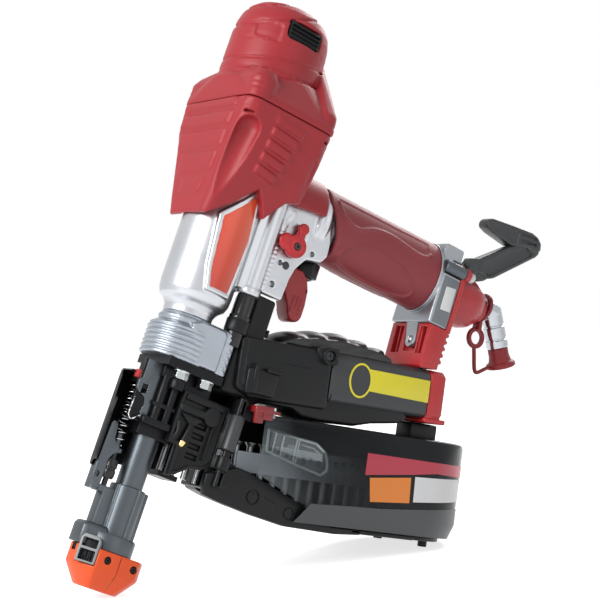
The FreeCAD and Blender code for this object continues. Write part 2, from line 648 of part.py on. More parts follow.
def lower_guard():
    """Lower moulded guard: boxy collar round the barrel, tapering to the front and cut away at the sides."""
    side = plate("skirt_side", "Y", [
        ("-guard_front", "seam_high"), ("-guard_front", "ear_low - 10"),
        ("-barrel_r - guard_wall", "guard_low + 8"),
        ("-barrel_r - guard_wall + 2", "guard_low"), ("-guard_front + 11", "guard_low"),
        ("-7", "guard_low + 10"),
        ("3", "guard_low + 22.5"), ("14", "guard_low + 7.5"), ("24", "guard_low + 22"),
        ("52", "guard_low + 28"),
        ("58", "guard_low + 43"), ("58", "guard_low + 54"), ("guard_rear", "guard_low + 58"),
        ("guard_rear", "seam_high")],
        "-guard_half", "guard_half")
    front = plate("skirt_front", "X", [
        ("-guard_half", "seam_high"), ("-guard_half", "ear_low"), ("-guard_low_half - 5", "guard_low"),
        ("guard_low_half + 5", "guard_low"), ("guard_half", "ear_low"), ("guard_half", "seam_high")],
        "-guard_front - 1", "guard_rear + 30")
    shell = common("skirt_shell", side, front)
    flange_room = box("skirt_room", ("-guard_front + guard_wall", "guard_rear - guard_wall"),
                      ("-guard_half + guard_wall", "guard_half - guard_wall"),
                      ("flange_top - flange_thick - gap - head_tall", "seam_high + 1"))
    barrel_room = rod("skirt_barrel_room", "Z", "barrel_r + gap", "guard_low - 1", "seam_high + 1")
    housing_room = box("skirt_housing_room", ("0", "grip_start + 2"),
                       ("-housing_half - gap", "housing_half + gap"),
                       ("guard_low - 1", "seam_high - 12"))
    tube_room = rod("skirt_tube_room", "Z", "air_tube_r + 1 + gap", "guard_low - 1", "flange_top - 39",
                    "air_tube_x", "-air_tube_y")
    scoops = []
    for number, (turn, x) in enumerate(((1, "-guard_front"), (-1, "guard_rear"))):
        for hand in (-1, 1):
            scoops.append(rod("skirt_scoop_%d_%d" % (number, hand + 1), "Z", "8", "guard_low - 1",
                              "ear_low",
                              x, "%d * (guard_half - 3)" % hand))
    hollow_side = plate("skirt_hollow_side", "Y", [
        ("-guard_front + guard_wall", "seam_high - 12"), ("-guard_front + guard_wall", "ear_low - 10"),
        ("-barrel_r", "guard_low + 8"),
        ("-barrel_r", "guard_low - 1"), ("55", "guard_low - 1"), ("55", "guard_low + 52"),
        ("guard_rear - guard_wall", "seam_high - 12")],
        "-guard_half", "guard_half")
    hollow_front = plate("skirt_hollow_front", "X", [
        ("-guard_half + guard_wall", "seam_high - 12"), ("-guard_half + guard_wall", "ear_low + 2"),
        ("-guard_low_half - 2", "guard_low - 1"),
        ("guard_low_half + 2", "guard_low - 1"), ("guard_half - guard_wall", "ear_low + 2"),
        ("guard_half - guard_wall", "seam_high - 12")],
        "-guard_front - 2", "guard_rear + 31")
    corners = []
    for number, x in enumerate(("-guard_front", "guard_rear")):
        for hand in (-1, 1):
            corners.append(rod("skirt_corner_%d_%d" % (number, hand + 1), "Z", "8 + guard_wall",
                               "guard_low - 2", "ear_low + guard_wall",
                               x, "%d * (guard_half - 3)" % hand))
    hollow = cut("skirt_hollow", common("skirt_hollow_body", hollow_side, hollow_front), *corners)
    node("lower_guard", cut("lower_guard", shell, flange_room, barrel_room, housing_room, tube_room,
                            hollow, *scoops), "tool")


# ---------------------------------------------------------------- nose

def nose_holder():
    """Cast foot of the barrel: ribbed collar in front, flat block behind, bolted to the driver guide."""
    collar = cone("holder_collar", "Z", "holder_r", "neck_r", "holder_low", "barrel_foot")
    block = box("holder_block", ("-2", "holder_rear"), ("-holder_half", "holder_half"),
                ("holder_low", "barrel_foot - gap"))
    way = rod("holder_way", "Z", "shaft_r + gap", "holder_low - 1", "barrel_foot + 1")
    holes = [rod("holder_bolt_way_%d" % i, "Z", "bolt_r", "holder_low - 1", "holder_low + 14", x, y)
             for i, (x, y) in enumerate(nose_bolt_places())]
    node("nose_holder", cut("nose_holder", fuse("holder_body", collar, block), way, *holes), "tool")


def nose_bolt_places():
    return [(x, y) for x in ("1", "18") for y in ("-holder_half + 4.5", "holder_half - 4.5")]


def hex_bolts():
    """M5 hexagon bolts: four through the guide's flange, four through the cylinder cap's flange."""
    bolts = []
    for i, (x, y) in enumerate(nose_bolt_places()):
        head = hexagon("nose_bolt_head_%d" % i, "Z", "bolt_head", "holder_low - guide_flange - head_tall",
                       "holder_low - guide_flange", x, y)
        shank = rod("nose_bolt_shank_%d" % i, "Z", "bolt_r", "holder_low - guide_flange",
                    "holder_low + 14", x, y)
        bolts.append(fuse("nose_bolt_%d" % i, head, shank))
    for i, (x, y) in enumerate(flange_bolts()):
        head = hexagon("cap_bolt_head_%d" % i, "Z", "bolt_head", "flange_top + head_flange",
                       "flange_top + head_flange + head_tall", x, y)
        shank = rod("cap_bolt_shank_%d" % i, "Z", "bolt_r", "flange_top - flange_thick",
                    "flange_top + head_flange", x, y)
        bolts.append(fuse("cap_bolt_%d" % i, head, shank))
    node("hex_bolts", group("hex_bolts", *bolts), "tool")


def driver_guide():
    """Steel guide: bore for the driver, side chute for the screws, flange for the nose bolts."""
    top = box("guide_flange_box", ("-guide_front", "guide_rear"), ("-holder_half", "holder_half"),
              ("holder_low - guide_flange", "holder_low"))
    block = box("guide_block", ("-guide_front", "guide_rear"), ("-guide_half + 4", "guide_half"),
                ("guide_low", "holder_low - guide_flange"))
    foot = box("guide_foot", ("sleeve_out + 2", "guide_rear"), ("-guide_half + 4", "guide_half"),
               ("chute_low", "guide_low"))
    ear = box("guide_ear", ("-link_rear + gap", "-guide_front"), ("-8", "guide_half - 4"),
              ("spring_high", "spring_high + 4"))
    side = box("guide_side_plate", ("-link_rear - 1", "-guide_front + 2"), ("-10", "-8"),
               ("guide_low + 6", "holder_low - guide_flange"))
    bore = rod("guide_bore", "Z", "tube_r", "guide_low - 1", "spring_high - 6")
    shaft_way = rod("guide_shaft_way", "Z", "tube_bore", "guide_low - 1", "holder_low + 1")
    chute = box("guide_chute", ("0", "guide_rear + 1"), ("-chute_half", "chute_half"),
                ("chute_low + 3", "bit_tip + 6"))
    open_side = box("guide_open_side", ("sleeve_out + 1", "guide_rear + 1"),
                    ("-guide_half", "-chute_half + 1"), ("chute_low - 1", "bit_tip + 6"))
    pawl_way = box("guide_pawl_way", ("5", "guide_rear + 1"), ("chute_half - 1", "guide_half + 1"),
                   ("feed_axis - 22", "feed_axis - 12"))
    feed_way = box("guide_feed_way", ("guide_rear - 6", "guide_rear + 1"),
                   ("feed_y - feed_r - 1", "guide_half + 1"),
                   ("feed_axis - 12", "feed_axis + feed_r + 1"))
    notch = box("guide_slot", ("-link_rear + 2", "-guide_front - 2"), ("-11", "-7"),
                ("spring_high - 7", "spring_high - 3"))
    holes = [rod("guide_bolt_way_%d" % i, "Z", "bolt_r", "holder_low - guide_flange - 1",
                 "holder_low + 1", x, y)
             for i, (x, y) in enumerate(nose_bolt_places())]
    heads = [rod("guide_head_way_%d" % i, "Z", "bolt_head + gap",
                 "holder_low - guide_flange - head_tall - gap", "holder_low - guide_flange", x, y)
             for i, (x, y) in enumerate(nose_bolt_places())]
    node("driver_guide", cut("driver_guide", fuse("guide_body", top, block, foot, ear, side), bore,
                             shaft_way, chute,
                             open_side, pawl_way, feed_way, notch, *(holes + heads)), "tool")


def guide_tube():
    """Fixed inner tube that the contact sleeve slides on, open at the side where a screw comes in."""
    tube = ring("tube_wall", "Z", "tube_r", "tube_bore", "tube_low", "spring_high - 6")
    window = box("tube_window", ("0", "tube_r + 1"), ("-chute_half + 0.9", "chute_half - 0.9"),
                 ("chute_low + 3", "spring_high - 5"))
    node("guide_tube", cut("guide_tube", tube, window), "tool")


def nose_door():
    """Black door over the screw chute, hinged on the rod behind it."""
    skin = plate("door_skin", "Y", [
        ("door_front", "guide_low + 1"), ("sleeve_out + 2", "guide_low + 1"),
        ("sleeve_out + 2", "chute_low"), ("door_rod_x - 3.5", "chute_low"),
        ("door_rod_x - 3.5", "door_high - 5"), ("door_front", "door_high - 5")], "-door_out",
                 "-guide_half + 4 - gap")
    knuckles = [rod("door_knuckle_%d" % i, "Z", "door_rod_r + 2", low, high, "door_rod_x", "-door_rod_y")
                for i, (low, high) in enumerate((("chute_low + 14", "chute_low + 22"),
                                                 ("door_high - 16", "door_high - 8")))]
    webs = [box("door_web_%d" % i, ("door_rod_x - 5", "door_rod_x"),
                ("-door_rod_y - door_rod_r + 0.5", "-door_out + 2.5"), span)
            for i, span in enumerate((("chute_low + 14", "chute_low + 22"),
                                      ("door_high - 16", "door_high - 8")))]
    slots = [box("door_slot_%d" % i, ("door_rod_x - 17", "door_rod_x - 8"),
                 ("-door_out - 1", "-door_out + 1.5"),
                 ("chute_low + 14 + %d" % (6 * i), "chute_low + 17 + %d" % (6 * i))) for i in range(4)]
    rod_way = rod("door_rod_way", "Z", "door_rod_r + fit", "chute_low", "door_high", "door_rod_x",
                  "-door_rod_y")
    node("nose_door", cut("nose_door", fuse("door_body", skin, *(knuckles + webs)), rod_way, *slots),
         "tool")


def feed_housing():
    """Black feed body between nose and arm: far wall of the chute, feed cylinder, column to the casting."""
    top = box("feed_top", ("feed_front", "feed_rear"), ("-feed_half + 1", "feed_half"),
              ("door_high + 2", "feed_high"))
    far = box("feed_far", ("guide_rear + gap", "feed_rear"), ("chute_half + 2", "feed_half"),
              ("chute_low + 20", "door_high + 2"))
    column = box("feed_column", ("column_front", "column_rear"), ("-column_half", "column_half"),
                 ("feed_high", "column_high"))
    ears = [box("feed_ear_%d" % i, ("door_rod_x - 1", "door_rod_x + 4"),
                ("-door_rod_y - door_rod_r - 1.5", "-chute_half - 6"), span)
            for i, span in enumerate((("door_high - 7.5", "door_high + 2"),
                                      ("chute_low + 4", "chute_low + 13.5")))]
    shelf = box("feed_shelf", ("door_rod_x", "feed_rear"), ("-door_rod_y + 6", "chute_half + 2"),
                ("door_high - 7.5", "door_high + 2"))
    low_shelf = box("feed_low_shelf", ("door_rod_x - 2", "feed_rear"), ("-door_rod_y + 6", "feed_half"),
                    ("chute_low + 2", "chute_low + 20"))
    socket = rod("feed_socket", "Z", "air_tube_r + 1.5", "barrel_foot + gap", "feed_high + 6",
                 "air_tube_x", "-air_tube_y")
    boss = rod("feed_boss", "X", "feed_r + 2", "guide_rear + gap", "feed_rear", "feed_y", "feed_axis")
    cylinder = rod("feed_cylinder", "X", "feed_r + fit", "guide_rear - 1", "feed_rear - 3", "feed_y",
                   "feed_axis")
    pawl_way = box("feed_pawl_way", ("guide_rear - 1", "feed_rear - 6"), ("chute_half - 2", "feed_y + 2"),
                   ("feed_axis - 22", "feed_axis + 2"))
    strip_way = box("feed_strip_way", ("guide_rear - 1", "feed_rear + 1"), ("-chute_half", "chute_half"),
                    ("chute_low + 3", "bit_tip + 6"))
    rod_way = rod("feed_rod_way", "Z", "door_rod_r", "chute_low", "door_high + 3", "door_rod_x",
                  "-door_rod_y")
    tube_way = rod("feed_tube_way", "Z", "air_tube_r", "feed_high - 1", "column_high", "air_tube_x",
                   "-air_tube_y")
    node("feed_housing", cut("feed_housing",
                             fuse("feed_body", top, far, column, shelf, low_shelf, socket, boss, *ears),
                             cylinder,
                             pawl_way, strip_way, rod_way, tube_way), "tool")
    node("feed_air_tube", rod("feed_air_tube", "Z", "air_tube_r", "feed_high - 1", "air_tube_split",
                              "air_tube_x", "-air_tube_y"), "tool")


def feed_piston():
    """Feed piston with its pawl arm, which pushes the strip forward by one screw."""
    head = rod("feed_head", "X", "feed_r", "guide_rear + gap + 2", "guide_rear + gap + 14", "feed_y",
               "feed_axis")
    arm = box("feed_arm", ("guide_rear + gap + 3", "guide_rear + gap + 9"),
              ("chute_half + gap", "feed_y"), ("feed_axis - 20", "feed_axis"))
    pawl = box("feed_claw", ("guide_rear - feed_travel + 1", "guide_rear + gap + 5"),
               ("chute_half + gap", "chute_half + 3.5"), ("feed_axis - 20", "feed_axis - 14"))
    node("feed_piston", fuse("feed_piston", head, arm, pawl), "tool")


def hinge_rods():
    """Steel rod that stays in the frame, for the nose door to turn on."""
    node("door_rod", rod("door_rod", "Z", "door_rod_r", "chute_low + 4", "door_high + 2", "door_rod_x",
                         "-door_rod_y"), "tool")


# ---------------------------------------------------------------- contact arm

def contact_arm():
    """Sliding contact arm: sleeve, depth dial, orange tip, link plate and return spring."""
    sleeve = ring("sleeve_tube", "Z", "sleeve_out", "tube_r + fit", "sleeve_low", "sleeve_top")
    rib = box("sleeve_rib", ("-rib_front", "0"), ("-5", "5"),
              ("sleeve_low + collar_tall", "sleeve_top - 4"))
    collar = rod("sleeve_collar", "Z", "collar_r", "sleeve_low", "sleeve_low + collar_tall", "-2", 0)
    front = box("sleeve_dial_house", ("-dial_x - dial_r - 2", "-8"), ("-dial_r - 2", "dial_r + 2"),
                ("sleeve_low", "sleeve_low + collar_tall + 3"))
    bore = rod("sleeve_bore", "Z", "tube_r + fit", "sleeve_low - 1", "sleeve_top + 1")
    dial_room = rod("sleeve_dial_room", "Z", "dial_r + gap", "sleeve_low - 1",
                    "sleeve_low + dial_tall - 4 + gap", "-dial_x", 0)
    window = box("sleeve_window", ("-dial_x - dial_r - 3", "-dial_x + 2"), ("-dial_r - 3", "dial_r - 3"),
                 ("sleeve_low - 1", "sleeve_low + dial_tall - 4 + gap"))
    node("contact_sleeve", cut("contact_sleeve", fuse("sleeve_body", sleeve, rib, collar, front), bore,
                               dial_room, window), "tool")

    wheel = rod("dial_wheel", "Z", "dial_r", "sleeve_low - 4", "sleeve_low - 4 + dial_tall", "-dial_x", 0)
    flutes = [rod("dial_flute_%d" % i, "Z", "0.6", "sleeve_low - 5", "sleeve_low + dial_tall",
                  "-dial_x + dial_r * cos(%d)" % (30 * i),
                  "dial_r * sin(%d)" % (30 * i)) for i in range(12)]
    node("adjuster_dial", cut("adjuster_dial", wheel, *flutes), "tool")

    side = plate("tip_side", "Y", [
        ("-tip_mouth", "0"), ("tip_mouth", "0"), ("tip_half", "tip_chamfer"), ("tip_half", "tip_tall"),
        ("-tip_half - 3", "tip_tall"),
        ("-tip_half - 3", "tip_chamfer")], "-tip_half", "tip_half")
    front = plate("tip_front", "X", [
        ("-tip_mouth + 1", "0"), ("tip_mouth - 1", "0"), ("tip_half - 2", "tip_chamfer"),
        ("tip_half - 2", "tip_tall"), ("-tip_half + 2", "tip_tall"),
        ("-tip_half + 2", "tip_chamfer")], "-tip_half - 4", "tip_half + 1")
    top = plate("tip_top", "Z", [
        ("-tip_half - 3", "-8"), ("-tip_half + 4", "-tip_half + 2"), ("tip_half - 6", "-tip_half + 2"),
        ("tip_half", "-10"), ("tip_half", "10"),
        ("tip_half - 6", "tip_half - 2"), ("-tip_half + 4", "tip_half - 2"), ("-tip_half - 3", "8")],
                "-1", "tip_tall + 1")
    bore = rod("tip_bore_cut", "Z", "tip_bore", "-1", "tip_tall + 1")
    wheel_room = rod("tip_dial_room", "Z", "dial_r + gap", "sleeve_low - 4 - gap", "tip_tall + 1",
                     "-dial_x", 0)
    window = box("tip_window", ("-tip_half - 4", "-dial_x"), ("-dial_r - 3", "dial_r - 3"),
                 ("sleeve_low - 4 - gap", "tip_tall + 1"))
    screws = [rod("tip_screw_way_%d" % i, "Y", "1.5", low, high, "tip_tall - 5", x) for i,
              (x, low, high) in enumerate(tip_screw_places())]
    solid = common("tip_solid", common("tip_wedge", side, front), top)
    node("contact_tip", cut("contact_tip", solid, bore, wheel_room, window, *screws), "tool")
    heads = [rod("tip_screw_%d" % i, "Y", "1.5", low, high, "tip_tall - 5", x) for i,
             (x, low, high) in enumerate(tip_screw_places())]
    node("tip_screws", group("tip_screws", *heads), "tool")

    beside_spring = "-spring_x - spring_r - spring_wire - gap"
    plate_body = plate("link_outline", "Y", [
        ("-link_front", "sleeve_top - 8"), ("-link_rear", "sleeve_top - 8"),
        ("-link_rear", "spring_low - 8"), ("-spring_x + 3", "spring_low - 3"),
        ("-spring_x + 3", "spring_low"), (beside_spring, "spring_low"), (beside_spring, "link_top"),
        ("-link_front", "link_top")], "-link_half", "link_half")
    stud = rod("link_stud", "Z", "spring_r - spring_wire - gap", "spring_low - 1", "spring_low + 7",
               "-spring_x", 0)
    toe = box("link_toe", ("-link_rear - 1", "-rib_front"), ("-4", "4"),
              ("sleeve_top - 8", "sleeve_top - 4"))
    node("link_plate", fuse("link_plate", plate_body, stud, toe), "tool")
    node("return_spring", coil_spring("return_spring", "spring_r", "spring_wire", "spring_low",
                                      "spring_high", 9, "-spring_x", 0), "tool")

    sheet_front = box("screen_front_wall", ("-screen_front", "-screen_front + screen_wall"),
                      ("-screen_half", "screen_half"), ("screen_low", "screen_high"))
    sheet_side = box("screen_side_wall", ("-screen_front", "-guide_front"),
                     ("screen_half - screen_wall", "screen_half"), ("guide_low + 1", "screen_high"))
    sheet_top = box("screen_top_wall", ("-screen_front", "-guide_front"), ("-8 + gap", "screen_half"),
                    ("screen_high - 1.5", "screen_high"))
    node("spring_guard", fuse("spring_guard", sheet_front, sheet_side, sheet_top), "tool")


def tip_screw_places():
    return [(x, low, high) for x in ("3", "tip_half - 8") for low,
            high in (("-tip_half + 2", "-tip_bore - 2"), ("tip_bore + 2", "tip_half - 2"))]


# ---------------------------------------------------------------- trigger, lock, valve

def trigger_group():
    """Curved trigger on its pin, the valve above it with stem and cap, and the lock lever beside it."""
    outline = [("trigger_x - 4", "trigger_z - 9"), ("trigger_x + 11", "trigger_z - 9"),
               ("trigger_x + 15", "trigger_z - 14"),
               ("trigger_x + 19", "trigger_z - 22"), ("trigger_x + 21", "trigger_z - 28"),
               ("trigger_x + 28", "trigger_z - 29"),
               ("trigger_x + 30", "trigger_z - 23"), ("trigger_x + 32", "trigger_z - 13"),
               ("trigger_x + 32", "stem_low - gap"),
               ("trigger_x - 4", "stem_low - gap")]
    boss = rod("trigger_boss", "Y", "pin_r + 2.6", "-trigger_half", "trigger_half", "trigger_z",
               "trigger_x")
    pin_way = rod("trigger_pin_way", "Y", "pin_r + fit", "-trigger_half - 1", "trigger_half + 1",
                  "trigger_z", "trigger_x")
    lever = fuse("trigger_body", plate("trigger_outline", "Y", outline, "-trigger_half", "trigger_half"),
                 boss)
    node("trigger", cut("trigger", lever, pin_way), "tool")
    pin = rod("trigger_pin", "Y", "pin_r", "-housing_half", "housing_half", "trigger_z", "trigger_x")
    cap = hexagon("valve_cap_hex", "Z", "valve_r", "valve_low", "valve_low + valve_tall", "valve_x", 0)
    way = rod("valve_cap_way", "Z", "stem_r + fit", "valve_low - 1", "valve_low + valve_tall + 1",
              "valve_x", 0)
    node("valve_cap", cut("valve_cap", cap, way), "tool")
    node("valve_stem", rod("valve_stem", "Z", "stem_r", "stem_low", "valve_low + valve_tall - 2",
                           "valve_x", 0), "tool")

    disc = rod("lever_disc", "Y", "lever_r", "-housing_half - gap - lever_thick", "-housing_half - gap",
               "lever_z", "lever_x")
    arm = box("lever_arm", ("lever_x - 2.5", "lever_x + 2.5"),
              ("-housing_half - gap - lever_thick", "-housing_half - gap - 1.5"),
              ("lever_z", "lever_z + lever_long"))
    lobe = box("lever_lobe", ("lever_x - lever_r - 2.5", "lever_x"),
               ("-housing_half - gap - lever_thick + 1", "-housing_half - gap"),
               ("lever_z - lever_r + 1", "lever_z + lever_r - 1"))
    pin_way = rod("lever_pin_way", "Y", "pin_r + fit", "-housing_half - lever_thick - 2",
                  "-housing_half + 1", "lever_z", "lever_x")
    node("lock_lever", cut("lock_lever", fuse("lever_body", disc, arm, lobe), pin_way), "tool")
    screw = rod("lock_pin", "Y", "pin_r", "-housing_half - gap - lever_thick", "-slot_half + 1",
                "lever_z", "lever_x")
    node("housing_pins", group("housing_pins", pin, screw), "tool")


# ---------------------------------------------------------------- handle and its rear end

def grip():
    sleeve = oval("grip_sleeve", "grip_tall", "grip_wide", "grip_start + 11", "grip_end", 0, "grip_z")
    neck = oval("grip_neck", "grip_tall", "grip_wide", "grip_start", "grip_start + 11", 0, "grip_z")
    room = oval("grip_room", "grip_tall - 2 * grip_wall", "grip_wide - 2 * grip_wall", "grip_start - 1",
                "grip_end + 1", 0, "grip_z")
    housing_room = box("grip_housing_room", ("grip_start - 1", "housing_rear"),
                       ("-housing_half", "housing_half"), ("grip_z - grip_tall", "grip_z + grip_tall"))
    node("grip", cut("grip", fuse("grip_body", sleeve, neck), room, housing_room), "tool")


def handle_end():
    """Cast end block of the handle, with the tab that the rear bracket is screwed to."""
    block = plate("end_block", "X", [("-end_half", "end_low"), ("end_half", "end_low"),
                                     ("end_half", "end_high - 6"),
                                     ("end_half - 6", "end_high"), ("-end_half + 6", "end_high"),
                                     ("-end_half", "end_high - 6")],
                  "grip_end", "end_rear")
    tab = box("end_tab", ("grip_end", "grip_end + tab_thick"), ("-tab_half", "tab_half"),
              ("tab_low", "end_low + 1"))
    chamber = rod("end_chamber", "X", "core_bore", "grip_end - 1", "end_rear + 1", 0, "grip_z")
    bolt_way = rod("end_bolt_way", "X", "hook_bolt_r - 1.5", "end_rear - 6", "end_rear + 1",
                   "-hook_bolt_y", "hook_bolt_z + 6")
    node("handle_end", cut("handle_end", fuse("end_body", block, tab), chamber, bolt_way), "tool")


def rear_bracket():
    """Red bracket: plate behind the end block and a pocketed foot down to the magazine arm."""
    rise = "tan(mag_tilt)"
    top_of_arm = "arm_high / cos(mag_tilt) + mag_shift_z - mag_shift_x * tan(mag_tilt)"
    foot = plate("bracket_foot", "Y", [
        ("grip_end + 2", "end_low"), ("grip_end + 4", "(grip_end + 4) * %s + %s" % (rise, top_of_arm)),
        ("end_rear + plate_thick", "(end_rear + plate_thick) * %s + %s" % (rise, top_of_arm)),
        ("end_rear + plate_thick", "end_low")],
        "-end_half", "end_half")
    back = plate("bracket_back", "X", [("-end_half", "end_low - 1"), ("end_half", "end_low - 1"),
                                       ("end_half", "plate_high - 6"),
                                       ("end_half - 8", "plate_high"), ("-end_half + 8", "plate_high"),
                                       ("-end_half", "plate_high - 6")],
                 "end_rear", "end_rear + plate_thick")
    tab_room = box("bracket_tab_room", ("grip_end - 1", "grip_end + tab_thick"),
                   ("-tab_half", "tab_half"), ("tab_low", "end_low + 1"))
    pockets = [box("bracket_pocket_%d" % i, ("grip_end", "end_rear - 3"), span,
                   ("tab_low + 1", "end_low - 3"))
               for i, span in enumerate((("-end_half + 3", "-tab_half - 3"),
                                         ("tab_half + 3", "end_half - 3")))]
    chamber = rod("bracket_chamber", "X", "core_bore", "end_rear - 1", "end_rear + plate_thick + 1", 0,
                  "grip_z")
    bolt_way = rod("bracket_bolt_way", "X", "hook_bolt_r - 1.5", "end_rear - 1",
                   "end_rear + plate_thick + 1", "-hook_bolt_y", "hook_bolt_z + 6")
    node("rear_bracket", cut("rear_bracket", fuse("bracket_body", foot, back), tab_room, chamber,
                             bolt_way, *pockets), "tool")


def end_cover():
    """Red end dome over the handle's mouth; the air plug turns in it."""
    back = "end_rear + plate_thick"
    dome = fuse("cover_dome", rod("cover_drum", "X", "dome_r", back, back + " + dome_long - 7", 0,
                                  "grip_z - 3"),
                cone("cover_taper", "X", "dome_r", "dome_r - 6", back + " + dome_long - 7",
                     back + " + dome_long", 0, "grip_z - 3"))
    way = rod("cover_way", "X", "plug_r - 1 + fit", back + " - 1", back + " + dome_long + 1", 0, "grip_z")
    hook_room = rod("cover_hook_room", "X", "hook_bolt_r + 5 + gap", back + " - 1",
                    back + " + dome_long + 1", "-hook_bolt_y", "hook_bolt_z + 6")
    node("end_cover", cut("end_cover", dome, way, hook_room), "tool")


def hook_parts():
    """Belt hook: a bent arm with a wide blade, turning on a bolt beside the end cover."""
    back = "end_rear + plate_thick + gap"
    eye = rod("hook_eye", "X", "hook_bolt_r + 4.5", back, back + " + 7", "-hook_bolt_y",
              "hook_bolt_z + 6")
    arm = plate("hook_arm", "Y", [
        (back, "hook_bolt_z + 2"), (back + " + 14", "hook_bolt_z + 3"),
        (back + " + hook_long", "hook_bolt_z + 34"),
        (back + " + hook_long + 1", "hook_bolt_z + 43"),
        (back + " + hook_long - 22", "hook_bolt_z + 35.5"), (back + " + 6", "hook_bolt_z + 16"),
        (back, "hook_bolt_z + 16")], "-hook_bolt_y - hook_wide / 2", "-hook_bolt_y + hook_wide / 2")
    blade = plate("hook_blade", "Y", [
        (back + " + hook_long + 1", "hook_bolt_z + 39"), (back + " + hook_long + 1", "hook_bolt_z + 45"),
        (back + " + hook_long - 5", "hook_bolt_z + 49"),
        (back + " + 4", "hook_bolt_z + 46"), (back + " + 3", "hook_bolt_z + 43"),
        (back + " + 5", "hook_bolt_z + 41.5"),
        (back + " + hook_long - 16", "hook_bolt_z + 39")], "-hook_bolt_y - hook_wide / 2 - 2",
                  "-hook_bolt_y + hook_wide / 2 + 2")
    bolt_way = rod("hook_bolt_cut", "X", "hook_bolt_r - 1.5 + fit", back + " - 1", back + " + 14",
                   "-hook_bolt_y", "hook_bolt_z + 6")
    head_room = rod("hook_head_room", "X", "hook_bolt_r + gap", back + " + 7", back + " + 25",
                    "-hook_bolt_y", "hook_bolt_z + 6")
    node("belt_hook", cut("belt_hook", fuse("hook_body", eye, arm, blade), bolt_way, head_room), "tool")
    shank = rod("hook_shank", "X", "hook_bolt_r - 1.5", "end_rear - 6", back + " + 7 + gap",
                "-hook_bolt_y", "hook_bolt_z + 6")
    head = rod("hook_head", "X", "hook_bolt_r", back + " + 7 + gap", back + " + 10", "-hook_bolt_y",
               "hook_bolt_z + 6")
    node("hook_bolt", fuse("hook_bolt", shank, head), "tool")


def plug_parts():
    """Chrome swivel plug bent downwards, with a rubber dust cap on its nipple and the strap between them."""
    back = "end_rear + plate_thick + dome_long + gap"
    inner = rod("plug_inner", "X", "plug_r - 1", "end_rear + 2", back, 0, "grip_z")
    run = rod("plug_run", "X", "plug_r", back, back + " + plug_long", 0, "grip_z")
    ball = doc.addObject("Part::Sphere", "plug_elbow")
    ball.setExpression("Radius", bound("plug_r"))
    ball.setExpression("Placement.Base.x", bound(back + " + plug_long"))
    ball.setExpression("Placement.Base.z", bound("grip_z"))
    drop = tilted(rod("plug_drop_body", "Z", "plug_r", 0, "plug_drop"), back)
    nut = tilted(hexagon("plug_nut", "Z", "plug_r + 1.5", "plug_drop - 8", "plug_drop - 2"), back)
    nipple = tilted(rod("plug_nipple", "Z", "nipple_r", "plug_drop", "plug_drop + nipple_long"), back)
    node("air_plug", fuse("air_plug", inner, run, ball, drop, nut, nipple), "tool")
    start = "plug_drop + gap"
    cap = tilted(fuse("dust_body", rod("dust_drum", "Z", "cap_out", start, start + " + cap_long"),
                      rod("dust_rim", "Z", "cap_out + 2.5", start + " + cap_long - 3",
                          start + " + cap_long - 1")), back)
    room = tilted(rod("dust_room", "Z", "nipple_r + gap", start + " - 1", start + " + nipple_long + gap"),
                  back)
    node("dust_cap", cut("dust_cap", cap, room), "tool")
    low_z = "grip_z - 42"
    collar = ring("strap_collar", "X", "plug_r + 2.5", "plug_r + fit", back + " + 0.7",
                  back + " + 0.7 + strap_thick", 0, "grip_z")
    loop = ring("strap_loop", "Y", "6", "4", "-1", "1", "grip_z - 20", back + " + 4.2")
    band = plate("strap_band", "Y", [
        (back + " + 3.5", "grip_z - 25"), (back + " + 5.5", "grip_z - 25.2"),
        (back + " + 10", low_z + " + 3"),
        (back + " + plug_long + cos(plug_slope) * (plug_drop + 4) - 7",
         "grip_z - sin(plug_slope) * (plug_drop + 10) - 3"),
        (back + " + plug_long + cos(plug_slope) * (plug_drop + 4) - 6.5",
         "grip_z - sin(plug_slope) * (plug_drop + 10) - 5"), (back + " + 10", low_z)], "-1.5", "1.5")
    neck = box("strap_neck", (back + " + 0.7", back + " + 4"), ("-1.5", "1.5"),
               ("grip_z - 16.5", "grip_z - plug_r - 1"))
    node("cap_strap", fuse("cap_strap", collar, loop, band, neck), "tool")


def tilted(obj, back):
    """Swing a piece made along +Z about the plug's elbow until it points back and down."""
    holder = group(obj.Name + "_tilted", obj)
    holder.Placement = FreeCAD.Placement(FreeCAD.Vector(),
                                         FreeCAD.Rotation(FreeCAD.Vector(0, 1, 0),
                                                          90 + size["plug_slope"]))
    holder.setExpression("Placement.Base.x", bound(back + " + plug_long"))
    holder.setExpression("Placement.Base.z", bound("grip_z"))
    return holder


# ---------------------------------------------------------------- magazine arm (magazine frame)

